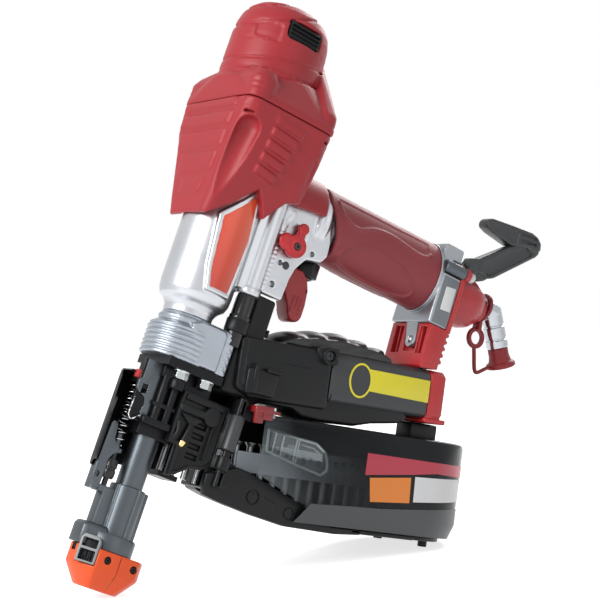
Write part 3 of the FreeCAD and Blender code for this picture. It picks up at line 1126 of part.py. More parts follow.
def magazine_arm():
    """Arm from the feed housing to the rear bracket: black front, grey shell, wavy guard, red end cap."""
    def section(name, low, high, grow=0):
        return plate(name, "X", [("-arm_half - %s" % grow, "arm_low"),
                                 ("arm_half + %s" % grow, "arm_low"),
                                 ("arm_half + %s" % grow, "arm_high"),
                                 ("-arm_half - %s" % grow, "arm_high")], low, high, "arm_round")
    front = section("arm_front_body", "arm_front", "arm_split")
    clip = box("arm_clip", ("arm_front + 8", "arm_front + 30"), ("-arm_half - 3", "-arm_half + 1"),
               ("arm_low - 2", "arm_low + 14"))
    node("arm_housing", cut("arm_housing", fuse("arm_body", front, clip), feed_envelope()), "magazine")
    node("arm_shell", section("arm_shell", "arm_split", "arm_rear"), "magazine")
    lip = box("arm_cap_lip", ("arm_rear + 2", "arm_rear + arm_cap + 3"), ("-arm_half", "arm_half"),
              ("arm_low - 3", "arm_low + 1"))
    node("arm_end_cap", fuse("arm_end_cap", section("arm_cap_body", "arm_rear", "arm_rear + arm_cap"),
                             lip), "magazine")
    wave = plate("wave_outline", "Y", [
        ("wave_front", "arm_high"), ("wave_rear", "arm_high"), ("wave_rear - 8", "arm_high + 6"),
        ("wave_rear - 30", "wave_high - 2"),
        ("wave_rear - 50", "wave_high"), ("wave_front + 22", "wave_high - 3"),
        ("wave_front", "arm_high + 4")], "-wave_half", "wave_half")
    bracket_room = box("wave_bracket_room", ("wave_rear - 12", "wave_rear + 1"),
                       ("-end_half - gap", "end_half + gap"), ("arm_high + 6.5", "wave_high + 1"))
    node("arm_guard", cut("arm_guard", wave, bracket_room), "magazine")


def feed_envelope():
    """The space of the feed housing, in the magazine frame, cut from what is built around it."""
    block = box("envelope_block", ("guide_rear", "feed_rear"), ("-feed_half", "feed_half"),
                ("chute_low", "feed_high"))
    column = box("envelope_column", ("column_front", "column_rear"), ("-column_half", "column_half"),
                 ("chute_low", "column_high"))
    ears = box("envelope_ears", ("door_rod_x - 2", "door_rod_x + 5"),
               ("-door_rod_y - door_rod_r - 2.5", "0"), ("chute_low", "door_high + 3"))
    hinge = rod("envelope_hinge", "Z", "door_rod_r + 2.6", "chute_low", "door_high + 3", "door_rod_x",
                "-door_rod_y")
    door = box("envelope_door", ("-guide_front", "door_rod_x + 5"), ("-door_out - 3", "-guide_half + 4"),
               ("chute_low - 1.5", "door_high + 3"))
    socket = rod("envelope_socket", "Z", "air_tube_r + 1.5 + gap", "chute_low", "feed_high + 7",
                 "air_tube_x", "-air_tube_y")
    holder = group("envelope", fuse("envelope_body", block, column, ears, hinge, door, socket))
    holder.Placement = magazine_in_tool().inverse()
    return holder


def magazine_in_tool():
    """Where the magazine frame stands in the tool frame."""
    shift = at("mag_shift_x", "0", "mag_shift_z")
    return FreeCAD.Placement(shift, FreeCAD.Rotation(FreeCAD.Vector(0, 1, 0), -size["mag_tilt"]))


# ---------------------------------------------------------------- magazine drum (magazine frame)

def magazine_case():
    """Fixed part of the drum: floor, roof, far wall, hanger post, tray post and the channel's far wall."""
    inner = "drum_r - drum_wall - gap"
    wall = ring("case_wall", "Z", "drum_r", "drum_r - drum_wall", "drum_low", "drum_high", "drum_x",
                "drum_y")
    near = box("case_near", ("drum_x - drum_r - 1", "drum_x + drum_r + 1"),
               ("drum_y - drum_r - 1", "drum_y"), ("drum_low - 1", "drum_high + 1"))
    half = cut("case_half", wall, near)
    quarter = common("case_quarter", ring("case_quarter_ring", "Z", "drum_r", "drum_r - drum_wall",
                                          "drum_low", "drum_high", "drum_x", "drum_y"),
                     box("case_quarter_box", ("drum_x - drum_r - 1", "drum_x - drum_r + 6"),
                         ("channel_half - drum_wall", "drum_y + 1"), ("drum_low", "drum_high")))
    discs = [rod("case_disc_%d" % i, "Z", inner, low, low + " + drum_plate", "drum_x", "drum_y") for i,
             low in enumerate(("drum_low", "drum_high - drum_plate"))]
    far = plate("case_channel", "Y", [("channel_front + 2", "drum_high"),
                                      ("channel_front + 2", "drum_low + 24.2"),
                                      ("channel_front + 60", "drum_low"),
                                      ("drum_x - drum_r + 4", "drum_low"),
                                      ("drum_x - drum_r + 4", "drum_high")], "channel_half - drum_wall",
                "channel_half")
    roof = box("case_channel_roof", ("channel_front + 2", "drum_x"),
               ("drum_y - drum_r + drum_wall + gap", "channel_half"),
               ("drum_high - drum_plate", "drum_high"))
    floor = box("case_channel_floor", ("drum_x - drum_r - 14", "drum_x"),
                ("drum_y - drum_r + drum_wall + gap", "channel_half"),
                ("drum_low", "drum_low + drum_plate"))
    joins = [ring("case_join_%d" % i, "Z", "drum_r - drum_wall + 0.2", "drum_r - drum_wall - 1", low,
                  low + " + drum_plate", "drum_x", "drum_y")
             for i, low in enumerate(("drum_low", "drum_high - drum_plate"))]
    bands = [cut("case_band_%d" % i, join,
                 box("case_band_cut_%d" % i, ("drum_x - drum_r - 1", "drum_x + drum_r + 1"),
                     ("drum_y - drum_r - 1", "drum_y + 2"),
                                               ("drum_low - 1", "drum_high + 1"))) for i,
             join in enumerate(joins)]
    post = rod("case_post", "Z", "post_r", "drum_high - 1", "arm_low - 3", "post_x", 0)
    pillar = rod("case_pillar", "Z", "core_post_r", "drum_low + 1", "drum_high - 12", "drum_x", "drum_y")
    knuckle = rod("case_knuckle", "Z", "knuckle_r", "drum_low + 24", "drum_high - 24",
                  "drum_x + drum_r + hinge_out", "drum_y")
    web = box("case_web", ("drum_x + drum_r - 1", "drum_x + drum_r + hinge_out"),
              ("drum_y + 0.6", "drum_y + knuckle_r"), ("drum_low + 24", "drum_high - 24"))
    pin_way = rod("case_pin_way", "Z", "hinge_pin_r", "drum_low", "drum_high",
                  "drum_x + drum_r + hinge_out", "drum_y")
    pivot_way = rod("case_pivot_way", "Z", "1.5", "drum_high - drum_plate + 0.2", "drum_high + 1",
                    "latch_x - 4", "drum_y - drum_r + 4.6")
    solid = fuse("case_solid", half, quarter, far, roof, floor, post, pillar, knuckle, web,
                 *(discs + bands))
    node("magazine_case", cut("magazine_case", solid, pin_way, pivot_way, feed_envelope()), "magazine")


def magazine_cover():
    """Smoked clear cover: near wall of the channel and the near half of the drum, hinged at the rear."""
    inner = "drum_r - drum_wall"
    wall = cut("cover_wall", ring("cover_ring", "Z", "drum_r", inner, "drum_low", "drum_high", "drum_x",
                                  "drum_y"),
               box("cover_far", ("drum_x - drum_r - 1", "drum_x + drum_r + 1"),
                   ("drum_y - gap", "drum_y + drum_r + 1"), ("drum_low - 1", "drum_high + 1")),
               box("cover_left", ("drum_x - drum_r - 1", "drum_x"), ("drum_y - drum_r - 1", "drum_y + 1"),
                   ("drum_low - 1", "drum_high + 1")))
    near = "drum_y - drum_r"
    flat = plate("cover_flat", "Y", [
        ("channel_front", "drum_high"), ("channel_front", "drum_low + 25"),
        ("channel_front + 60", "drum_low"), ("drum_x", "drum_low"), ("drum_x", "drum_high")],
        near, near + " + drum_wall")
    window_room = box("cover_window_room", ("channel_front + 4", "channel_front + 44"),
                      (near + " - 1", near + " + drum_wall + 1"), ("drum_high - 24", "drum_high - 8"))
    knuckles = [rod("cover_knuckle_%d" % i, "Z", "knuckle_r", low, high, "drum_x + drum_r + hinge_out",
                    "drum_y")
                for i, (low, high) in enumerate((("drum_low + 12", "drum_low + 24 - gap"),
                                                 ("drum_high - 24 + gap", "drum_high - 12")))]
    webs = [box("cover_web_%d" % i, ("drum_x + drum_r - 1.2", "drum_x + drum_r + hinge_out"),
                ("drum_y - knuckle_r", "drum_y - 0.6"), span)
            for i, span in enumerate((("drum_low + 12", "drum_low + 24 - gap"),
                                      ("drum_high - 24 + gap", "drum_high - 12")))]
    pin_way = rod("cover_pin_way", "Z", "hinge_pin_r + fit", "drum_low", "drum_high",
                  "drum_x + drum_r + hinge_out", "drum_y")
    node("magazine_cover", cut("magazine_cover", fuse("cover_solid", wall, flat, *(knuckles + webs)),
                               window_room, pin_way), "magazine")
    node("cover_window", box("cover_window", ("channel_front + 4", "channel_front + 44"),
                             (near, near + " + drum_wall"),
                             ("drum_high - 24", "drum_high - 8")), "magazine")


def magazine_base():
    """Black base under the channel and the drum, with the two feet that the tool stands on."""
    wedge = plate("base_wedge", "Y", [
        ("feed_rear + 12", "drum_low + 22"), ("feed_rear - 4", "drum_low + 22"),
        ("feed_rear - 12", "drum_low + 6"), ("channel_front + 22", "drum_low - 5"),
        ("drum_x - drum_r + 3", "drum_low - 3"), ("drum_x - drum_r + 3", "drum_low"),
        ("channel_front + 60", "drum_low"), ("channel_front + 2", "drum_low + 24")],
        "-base_half", "base_half")
    tray = rod("base_disc", "Z", "drum_r - 9", "drum_low - 3", "drum_low", "drum_x", "drum_y")
    ledge = box("base_ledge", ("drum_x - drum_r - 5", "drum_x"), ("-base_half", "drum_y"),
                ("drum_low - 3", "drum_low"))
    feet = [rod("base_foot_%d" % i, "Z", "foot_r", "drum_low - 3 - foot_long", "drum_low - 2", "foot_x",
                "drum_y + %d * foot_half" % hand)
            for i, hand in enumerate((-1, 1))]
    slot = box("base_slot", ("feed_rear - 6", "channel_front + 70"),
               ("-base_half + 4.5", "chute_half + gap"), ("tray_low + tray_thick - gap", "drum_low + 40"))
    node("magazine_base", cut("magazine_base", fuse("base_body", wedge, tray, ledge, *feet),
                              feed_envelope(), slot), "magazine")


def coil_tray():
    disc = ring("tray_disc", "Z", "tray_r", "core_post_r + gap", "tray_low", "tray_low + tray_thick",
                "drum_x", "drum_y")
    hub = ring("tray_hub", "Z", "core_post_r + 3", "core_post_r + gap", "tray_low", "tray_low + 24",
               "drum_x", "drum_y")
    node("coil_tray", fuse("coil_tray", disc, hub), "magazine")


def coil_places():
    """Where the screws stand in the magazine: a straight run in the channel, then turns round the coil."""
    pitch = size["screw_pitch"]
    middle = val("drum_x")
    front = val("channel_front") - 4
    near = val("drum_y - coil_r")
    count = int((middle - front) / pitch)
    places = []
    for i in range(count + 1):
        share = 1 - i / count
        places.append((front + i * pitch, near * (1 - share ** 2)))
    angle, radius = -90.0, val("coil_r")
    angle += math.degrees((places[-1][0] + pitch - middle) / radius)
    while radius > size["coil_inner"]:
        places.append((middle + radius * math.cos(math.radians(angle)),
                       val("drum_y") + radius * math.sin(math.radians(angle))))
        step = math.degrees(pitch / radius)
        angle += step
        radius -= step / 360 * (2 * size["screw_head"] + 0.6)
    return places


def waiting_places():
    """Screws upright in the nose's chute, the first one next to the driver bore."""
    return [size["tube_r"] + 1 + size["screw_head"] + i * size["screw_pitch"] + 4.2 for i in range(5)]


def screw_coil():
    """Collated drywall screws, all alike, standing head up, and the plastic strip behind them."""
    foot = val("tray_low + tray_thick")
    shank = Part.makeCylinder(size["screw_r"], size["screw_long"])
    head = Part.makeCone(size["screw_r"], size["screw_head"], size["screw_head_tall"],
                         FreeCAD.Vector(0, 0, size["screw_long"]))
    screw = shank.fuse(head).removeSplitter()
    upright = magazine_in_tool().inverse()
    screws = []
    for x, y in coil_places():
        one = screw.copy()
        one.translate(FreeCAD.Vector(x, y, foot))
        screws.append(one)
    for x in waiting_places():
        one = screw.copy()
        one.Placement = upright * FreeCAD.Placement(at(x, 0, "chute_low + 3 + gap"), FreeCAD.Rotation())
        screws.append(one)
    obj = doc.addObject("Part::Feature", "screw_coil")
    obj.Shape = Part.makeCompound(screws)
    node("screw_coil", obj, "magazine")

    low = foot + size["screw_long"] - size["strip_drop"] - size["strip_wide"] / 2
    bands = [ribbon([FreeCAD.Vector(x, y, 0) for x, y in coil_places()], low)]
    straight = ribbon([FreeCAD.Vector(x, 0, 0) for x in waiting_places()],
                      val("chute_low + 3 + gap + screw_long - strip_drop - strip_wide / 2"))
    straight.Placement = upright * straight.Placement
    strip = doc.addObject("Part::Feature", "screw_strip")
    strip.Shape = Part.makeCompound(bands + [straight])
    node("screw_strip", strip, "magazine")


def ribbon(path, low):
    """A thin band standing on edge, just outside a row of screws."""
    inside, outside = [], []
    for i, point in enumerate(path):
        way = path[min(i + 1, len(path) - 1)] - path[max(i - 1, 0)]
        way.normalize()
        side = FreeCAD.Vector(way.y, -way.x, 0)
        inside.append(point + side * (size["screw_r"] + 0.1))
        outside.append(point + side * (size["screw_r"] + 0.1 + size["strip_thick"]))
    outline = Part.makePolygon(inside + outside[::-1] + inside[:1])
    band = Part.Face(outline).extrude(FreeCAD.Vector(0, 0, size["strip_wide"]))
    band.translate(FreeCAD.Vector(0, 0, low))
    return band


def cover_latch():
    """Red latch on top of the channel's front end; it turns on a pin to free the cover."""
    near = "drum_y - drum_r"
    bar = box("latch_bar", ("latch_x - latch_long", "latch_x"), (near + " - 3", near + " + 7 - gap"),
              ("drum_high + gap", "drum_high + gap + latch_thick"))
    pin_way = rod("latch_pin_way", "Z", "1.5 + fit", "drum_high", "drum_high + latch_thick + 1",
                  "latch_x - 4", near + " + 4.6")
    hook = box("latch_hook", ("latch_x - latch_long", "latch_x - latch_long + 6"),
               (near + " - 3", near + " - gap"),
               ("drum_high - 6", "drum_high + gap + 1"))
    node("cover_latch", cut("cover_latch", fuse("latch_body", bar, hook), pin_way), "magazine")
    pivot = rod("latch_pin", "Z", "1.5", "drum_high - drum_plate + 0.2", "drum_high + gap + latch_thick",
                "latch_x - 4", near + " + 4.6")
    hinge = rod("cover_hinge_pin", "Z", "hinge_pin_r", "drum_low + 10", "drum_high - 10",
                "drum_x + drum_r + hinge_out", "drum_y")
    node("magazine_pins", group("magazine_pins", pivot, hinge), "magazine")


for build in (body_casting, cylinder_parts, cylinder_head, air_motor, top_guard, lower_guard, nose_holder,
              hex_bolts,
              driver_guide, guide_tube, nose_door, feed_housing, feed_piston, hinge_rods, contact_arm,
              trigger_group,
              grip, handle_end, rear_bracket, end_cover, hook_parts, plug_parts, magazine_arm,
              magazine_case,
              magazine_cover, magazine_base, coil_tray, screw_coil, cover_latch):
    build()
doc.recompute()


# ---------------------------------------------------------------- stand the tool on tip and foot

def standing():
    """Lean that puts the rear edge of the tip's mouth and the magazine feet on one floor."""
    foot = magazine_in_tool() * at("foot_x + foot_r", "0", "drum_low - 3 - foot_long")
    return math.degrees(math.atan2(foot.z, foot.x - size["tip_mouth"]))


lean = standing()
origin = FreeCAD.Vector()
up_tool = FreeCAD.Placement(origin, FreeCAD.Rotation(FreeCAD.Vector(0, 1, 0), lean))
up_magazine = up_tool * magazine_in_tool()
for obj, frame in nodes.values():
    stand = up_tool if frame == "tool" else up_magazine
    obj.Placement = stand * obj.Placement
doc.recompute()

for obj in doc.Objects:
    if "Invalid" in obj.State or "Error" in obj.State:
        raise RuntimeError("%s failed: %s" % (obj.Name, obj.State))
for name, (obj, frame) in nodes.items():
    if obj.Shape.isNull() or not obj.Shape.isValid() or not obj.Shape.Solids:
        raise RuntimeError("%s has no valid solid" % name)

os.makedirs("parts", exist_ok=True)
for name, (obj, frame) in nodes.items():
    obj.Shape.exportStep("parts/%s.step" % name)
print("lean %.3f degrees, %d nodes" % (lean, len(nodes)))
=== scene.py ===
import json
from math import cos, pi, radians, sin, sqrt, tau

import bmesh
import bpy
from mathutils import Matrix, Vector


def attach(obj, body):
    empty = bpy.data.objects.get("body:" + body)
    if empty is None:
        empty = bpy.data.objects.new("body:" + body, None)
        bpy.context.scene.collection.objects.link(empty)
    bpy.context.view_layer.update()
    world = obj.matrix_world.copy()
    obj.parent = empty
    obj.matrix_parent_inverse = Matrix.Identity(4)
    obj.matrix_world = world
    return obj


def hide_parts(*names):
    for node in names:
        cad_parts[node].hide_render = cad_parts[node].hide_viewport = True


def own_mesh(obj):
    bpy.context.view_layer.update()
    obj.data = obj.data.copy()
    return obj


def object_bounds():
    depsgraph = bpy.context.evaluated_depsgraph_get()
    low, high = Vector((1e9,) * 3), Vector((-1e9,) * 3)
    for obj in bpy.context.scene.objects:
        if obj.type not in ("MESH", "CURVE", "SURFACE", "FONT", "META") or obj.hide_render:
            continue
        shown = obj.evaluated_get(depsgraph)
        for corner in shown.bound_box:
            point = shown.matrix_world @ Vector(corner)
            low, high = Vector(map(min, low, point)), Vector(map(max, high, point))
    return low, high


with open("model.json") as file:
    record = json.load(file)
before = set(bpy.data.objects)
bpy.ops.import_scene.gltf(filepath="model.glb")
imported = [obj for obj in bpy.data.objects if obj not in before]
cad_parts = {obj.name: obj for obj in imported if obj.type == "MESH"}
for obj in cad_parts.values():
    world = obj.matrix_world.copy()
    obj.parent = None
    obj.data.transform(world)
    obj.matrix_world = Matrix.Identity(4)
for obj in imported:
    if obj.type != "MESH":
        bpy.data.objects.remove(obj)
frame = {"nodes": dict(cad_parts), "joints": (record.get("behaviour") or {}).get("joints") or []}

cad_low, cad_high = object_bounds()

# ---- The stand: a plain white table with soft lamps above it.
# The gun stands on its contact tip and on the magazine's foot, as it is
# set down between jobs.
aim = Vector((0.1405, -0.0072, 0.1563))
eye = Vector((-0.43824, -0.86705, 0.18092))
lens_data = bpy.data.cameras.new("camera")
lens_data.lens, lens_data.sensor_width = 104.04, 36.0
lens_data.clip_start, lens_data.clip_end = 0.05, 50.0
camera = bpy.data.objects.new("camera", lens_data)
camera.location = eye
turn = (aim - eye).to_track_quat("-Z", "Y").to_matrix() @ Matrix.Rotation(radians(-1.905), 3, "Z")
camera.rotation_euler = turn.to_euler()
bpy.context.scene.collection.objects.link(camera)
bpy.context.scene.camera = camera
bpy.context.scene.view_settings.view_transform = "Standard"


def node_of(tree, kind, **sockets):
    """Add a shader node and set the sockets that are named."""
    made = tree.nodes.new("ShaderNode" + kind)
    for name, value in sockets.items():
        made.inputs[name.replace("_", " ")].default_value = value
    return made


def seen_directly(tree):
    """One where a ray comes from the camera, a mirror or clear plastic, nothing elsewhere."""
    path = tree.nodes.new("ShaderNodeLightPath")
    total = path.outputs["Is Camera Ray"]
    for ray in ("Is Glossy Ray", "Is Transmission Ray"):
        sum_up = tree.nodes.new("ShaderNodeMath")
        sum_up.operation, sum_up.use_clamp = "ADD", True
        tree.links.new(total, sum_up.inputs[0])
        tree.links.new(path.outputs[ray], sum_up.inputs[1])
        total = sum_up.outputs[0]
    return total


table_bm = bmesh.new()
bmesh.ops.create_circle(table_bm, cap_ends=True, segments=96, radius=6.0,
    matrix=Matrix.Translation((aim.x, aim.y, cad_low.z)))
table_mesh = bpy.data.meshes.new("table")
table_bm.to_mesh(table_mesh)
table = bpy.data.objects.new("table", table_mesh)
bpy.context.scene.collection.objects.link(table)
table_white = bpy.data.materials.new("table_white")
table_white.use_nodes = True
tree = table_white.node_tree
tree.nodes.clear()
matt = node_of(tree, "BsdfDiffuse", Color=(0.86, 0.86, 0.86, 1))
glow = node_of(tree, "Emission", Color=(1, 1, 1, 1))
lift = tree.nodes.new("ShaderNodeMath")
lift.operation = "MULTIPLY"
lift.inputs[1].default_value = 0.72
tree.links.new(seen_directly(tree), lift.inputs[0])
tree.links.new(lift.outputs[0], glow.inputs["Strength"])
both = tree.nodes.new("ShaderNodeAddShader")
tree.links.new(matt.outputs[0], both.inputs[0])
tree.links.new(glow.outputs[0], both.inputs[1])
tree.links.new(both.outputs[0], node_of(tree, "OutputMaterial").inputs["Surface"])
table_mesh.materials.append(table_white)

sky = bpy.data.worlds.new("studio")
bpy.context.scene.world = sky
sky.use_nodes = True
tree = sky.node_tree
tree.nodes.clear()
soft = node_of(tree, "Background", Color=(1, 1, 1, 1))
spread = tree.nodes.new("ShaderNodeMapRange")
spread.inputs["To Min"].default_value, spread.inputs["To Max"].default_value = 0.32, 1.0
tree.links.new(seen_directly(tree), spread.inputs["Value"])
tree.links.new(spread.outputs[0], soft.inputs["Strength"])
tree.links.new(soft.outputs[0], node_of(tree, "OutputWorld").inputs["Surface"])

for name, place, wide, power in (("key_lamp", (-1.25, -0.35, 0.95), 0.8, 25.0),
        ("front_lamp", (0.55, -1.75, 0.75), 1.1, 3.0), ("rear_lamp", (1.30, 0.60, 0.95), 0.8,
        11.0)):
    lamp = bpy.data.lights.new(name, "AREA")
    lamp.size, lamp.energy = wide, power
    holder = bpy.data.objects.new(name, lamp)
    holder.location = place
    holder.rotation_euler = (aim - Vector(place)).to_track_quat("-Z", "Y").to_euler()
    bpy.context.scene.collection.objects.link(holder)


# ---- Cylinder: a drawn aluminium sleeve in the casting, with a rubber bumper at its
# foot. The piston, its seal and the driver shaft run in it, turned from bar.
joints = {joint["name"]: joint for joint in frame["joints"]}


def stand(up):
    """Turns millimetres along a leaning part's own axes into metres in the frame."""
    up, side = Vector(up), Vector((0, 1, 0))
    axes = Matrix((side.cross(up), side, up)).transposed()
    return axes.to_4x4() @ Matrix.Scale(0.001, 4)


tool = stand(joints["contact_slide"]["axis"])


def effect(name, sockets_in, sockets_out):
    """A shader group with named inputs and outputs, shared by several finishes."""
    group = bpy.data.node_groups.new(name, "ShaderNodeTree")
    for label, value in sockets_in.items():
        socket = group.interface.new_socket(name=label, in_out="INPUT",
            socket_type="NodeSocketFloat")
        socket.default_value = value
    for label, kind in sockets_out.items():
        group.interface.new_socket(name=label, in_out="OUTPUT", socket_type="NodeSocket" + kind)
    return group, group.nodes.new("NodeGroupInput"), group.nodes.new("NodeGroupOutput")


def sums(tree, how, one, other, clamp=False):
    """Join two values or sockets with a Math node."""
    made = tree.nodes.new("ShaderNodeMath")
    made.operation, made.use_clamp = how, clamp
    for place, value in enumerate((one, other)):
        if isinstance(value, (int, float)):
            made.inputs[place].default_value = value
        else:
            tree.links.new(value, made.inputs[place])
    return made.outputs[0]


# Rubbed edges: where a corner's normal, rounded over a width, leaves the face's own.
rubbed_edges, given, result = effect("rubbed_edges", {"Width": 0.0006, "Patches": 180.0},
    {"Mask": "Float", "Rounded": "Vector"})
tree = rubbed_edges
around = tree.nodes.new("ShaderNodeTexCoord")
rounded = tree.nodes.new("ShaderNodeBevel")
rounded.samples = 4
tree.links.new(given.outputs["Width"], rounded.inputs["Radius"])
flat = tree.nodes.new("ShaderNodeNewGeometry")
match = tree.nodes.new("ShaderNodeVectorMath")
match.operation = "DOT_PRODUCT"
tree.links.new(rounded.outputs[0], match.inputs[0])
tree.links.new(flat.outputs["Normal"], match.inputs[1])
bent = sums(tree, "MULTIPLY", sums(tree, "SUBTRACT", 1.0, match.outputs["Value"]), 7.0, True)
patchy = node_of(tree, "TexNoise", Detail=3.0)
tree.links.new(around.outputs["Object"], patchy.inputs["Vector"])
tree.links.new(given.outputs["Patches"], patchy.inputs["Scale"])
rubbed = sums(tree, "MULTIPLY", sums(tree, "SUBTRACT", patchy.outputs["Fac"], 0.36), 3.4, True)
tree.links.new(sums(tree, "MULTIPLY", bent, rubbed), result.inputs["Mask"])
tree.links.new(rounded.outputs[0], result.inputs["Rounded"])

# Skin: the fine grain of a mould or casting, and a slow unevenness of its colour.
skin, given, result = effect("skin", {"Grain": 1500.0, "Patches": 40.0},
    {"Height": "Float", "Mottle": "Float"})
tree = skin
around = tree.nodes.new("ShaderNodeTexCoord")
fine = node_of(tree, "TexNoise", Detail=4.0, Roughness=0.6)
slow = node_of(tree, "TexNoise", Detail=5.0, Roughness=0.65)
for texture, size in ((fine, "Grain"), (slow, "Patches")):
    tree.links.new(around.outputs["Object"], texture.inputs["Vector"])
    tree.links.new(given.outputs[size], texture.inputs["Scale"])
tree.links.new(fine.outputs["Fac"], result.inputs["Height"])
tree.links.new(slow.outputs["Fac"], result.inputs["Mottle"])


def mix_colours(tree, share, one, other):
    """Blend two colours or colour sockets by a value socket."""
    mix = tree.nodes.new("ShaderNodeMix")
    mix.data_type = "RGBA"
    tree.links.new(share, mix.inputs["Factor"])
    for place, colour in ((6, one), (7, other)):
        if isinstance(colour, tuple):
            mix.inputs[place].default_value = (*colour, 1.0)
        else:
            tree.links.new(colour, mix.inputs[place])
    return mix.outputs[2]


def finish(name, colour, rough, worn=None, metal=0.0, grain=1500.0, depth=0.03, uneven=0.12,
        edge=0.0005, spread_by=0.10, patches=40.0, coat=0.0, shine=0.5, sheen=0.0):
    """A finish with grain, a slow unevenness and edges rubbed towards another colour."""
    material = bpy.data.materials.new(name)
    material.use_nodes = True
    tree = material.node_tree
    tree.nodes.clear()
    shader = node_of(tree, "BsdfPrincipled", Metallic=metal)
    shader.inputs["Specular IOR Level"].default_value = shine
    shader.inputs["Coat Weight"].default_value = coat
    shader.inputs["Coat Roughness"].default_value = 0.12
    shader.inputs["Sheen Weight"].default_value = sheen
    shader.inputs["Sheen Roughness"].default_value = 0.4
    edges = tree.nodes.new("ShaderNodeGroup")
    edges.node_tree = rubbed_edges
    edges.inputs["Width"].default_value = edge
    grained = tree.nodes.new("ShaderNodeGroup")
    grained.node_tree = skin
    grained.inputs["Grain"].default_value = grain
    grained.inputs["Patches"].default_value = patches
    dull = tuple(part * (1 - uneven) for part in colour)
    bright = tuple(min(1.0, part * (1 + uneven)) for part in colour)
    tone = mix_colours(tree, grained.outputs["Mottle"], dull, bright)
    if worn:
        tone = mix_colours(tree, edges.outputs["Mask"], tone, worn)
    tree.links.new(tone, shader.inputs["Base Color"])
    varied = sums(tree, "ADD", sums(tree, "MULTIPLY", grained.outputs["Mottle"], spread_by),
        rough - spread_by / 2)
    tree.links.new(varied, shader.inputs["Roughness"])
    relief = node_of(tree, "Bump", Strength=depth, Distance=0.001)
    tree.links.new(grained.outputs["Height"], relief.inputs["Height"])
    tree.links.new(edges.outputs["Rounded"], relief.inputs["Normal"])
    tree.links.new(relief.outputs[0], shader.inputs["Normal"])
    tree.links.new(shader.outputs[0], node_of(tree, "OutputMaterial").inputs["Surface"])
    return material


def finish_nodes(material, *names):
    """Give CAD nodes that show their own shape a finish."""
    for name in names:
        slots = frame["nodes"][name].data.materials
        for place in range(len(slots)):
            slots[place] = material
        if not slots:
            slots.append(material)


drawn_aluminium = finish("drawn_aluminium", (0.60, 0.61, 0.62), 0.30, metal=1.0, grain=900.0)
bright_steel = finish("bright_steel", (0.52, 0.52, 0.53), 0.24, metal=1.0, grain=1200.0)
soft_rubber = finish("soft_rubber", (0.014, 0.014, 0.015), 0.75, grain=1800.0, depth=0.08)
finish_nodes(drawn_aluminium, "cylinder_sleeve", "piston")
finish_nodes(bright_steel, "driver_shaft", "driver_bit")
finish_nodes(soft_rubber, "piston_bumper", "piston_seal")


# ---- Body casting: barrel, trigger housing and handle core in one die casting of
# aluminium, left silver. The air tube's upper half is cast on beside the barrel.
def span(node, way):
    """A CAD node's lowest and highest corner along a leaning part's own axes, in mm."""
    back = way.inverted()
    corners = list(zip(*(back @ v.co for v in frame["nodes"][node].data.vertices)))
    return Vector(map(min, corners)), Vector(map(max, corners))


def soften(bm, rim, steps=2, sharp=25):
    """Round every corner that is sharper than so many degrees."""
    edges = [e for e in bm.edges if e.is_manifold and e.calc_face_angle(0) > radians(sharp)]
    if rim and edges:
        bmesh.ops.bevel(bm, geom=edges, offset=rim, offset_type="OFFSET", segments=steps,
            profile=0.5, affect="EDGES", material=-1, clamp_overlap=True)
    return bm


def slab(outline, low, high, along="Y", rim=0.0, steps=2):
    """A plate cut to an outline, from low to high along one axis."""
    bm = bmesh.new()
    order = {"X": (2, 0, 1), "Y": (0, 2, 1), "Z": (0, 1, 2)}[along]
    corners = [[(*point, low)[place] for place in order] for point in outline]
    face = bm.faces.new([bm.verts.new(corner) for corner in corners])
    grown = bmesh.ops.extrude_face_region(bm, geom=[face])["geom"]
    way = Vector([(high - low) * (axis == along) for axis in "XYZ"])
    bmesh.ops.translate(bm, vec=way, verts=[g for g in grown if isinstance(g, bmesh.types.BMVert)])
    bmesh.ops.recalc_face_normals(bm, faces=bm.faces)
    return soften(bm, rim, steps)


def brick(low, high, rim=0.0, steps=2):
    """A block between two corners, its edges rounded."""
    bm = bmesh.new()
    low, high = Vector(low), Vector(high)
    bmesh.ops.create_cube(bm, size=1.0, matrix=Matrix.Translation((low + high) / 2)
        @ Matrix.Diagonal((*(high - low), 1.0)))
    return soften(bm, rim, steps)


def rod(start, end, thick, thin=None, rim=0.0, sides=32, steps=2):
    """A round bar or cone between two points."""
    bm = bmesh.new()
    start, end = Vector(start), Vector(end)
    turn = (end - start).to_track_quat("Z", "Y").to_matrix().to_4x4()
    bmesh.ops.create_cone(bm, cap_ends=True, segments=sides, radius1=thick, radius2=thick
        if thin is None else thin, depth=(end - start).length,
        matrix=Matrix.Translation((start + end) / 2) @ turn)
    return soften(bm, rim, steps, 40)


def bar(along, one, other, low, high, thick, **rest):
    """A round bar along one axis, at a place on the other two."""
    ends = [{"X": (at, one, other), "Y": (one, at, other), "Z": (one, other, at)}[along]
        for at in (low, high)]
    return rod(*ends, thick, **rest)


def ball(centre, wide, turn=None, finer=2):
    """A ball, or an egg when three half sizes are given."""
    bm = bmesh.new()
    size = (wide,) * 3 if isinstance(wide, (int, float)) else wide
    bmesh.ops.create_icosphere(bm, subdivisions=finer, radius=1.0, matrix=Matrix.Translation(centre)
        @ (turn or Matrix.Identity(4)) @ Matrix.Diagonal((*size, 1.0)))
    return bm


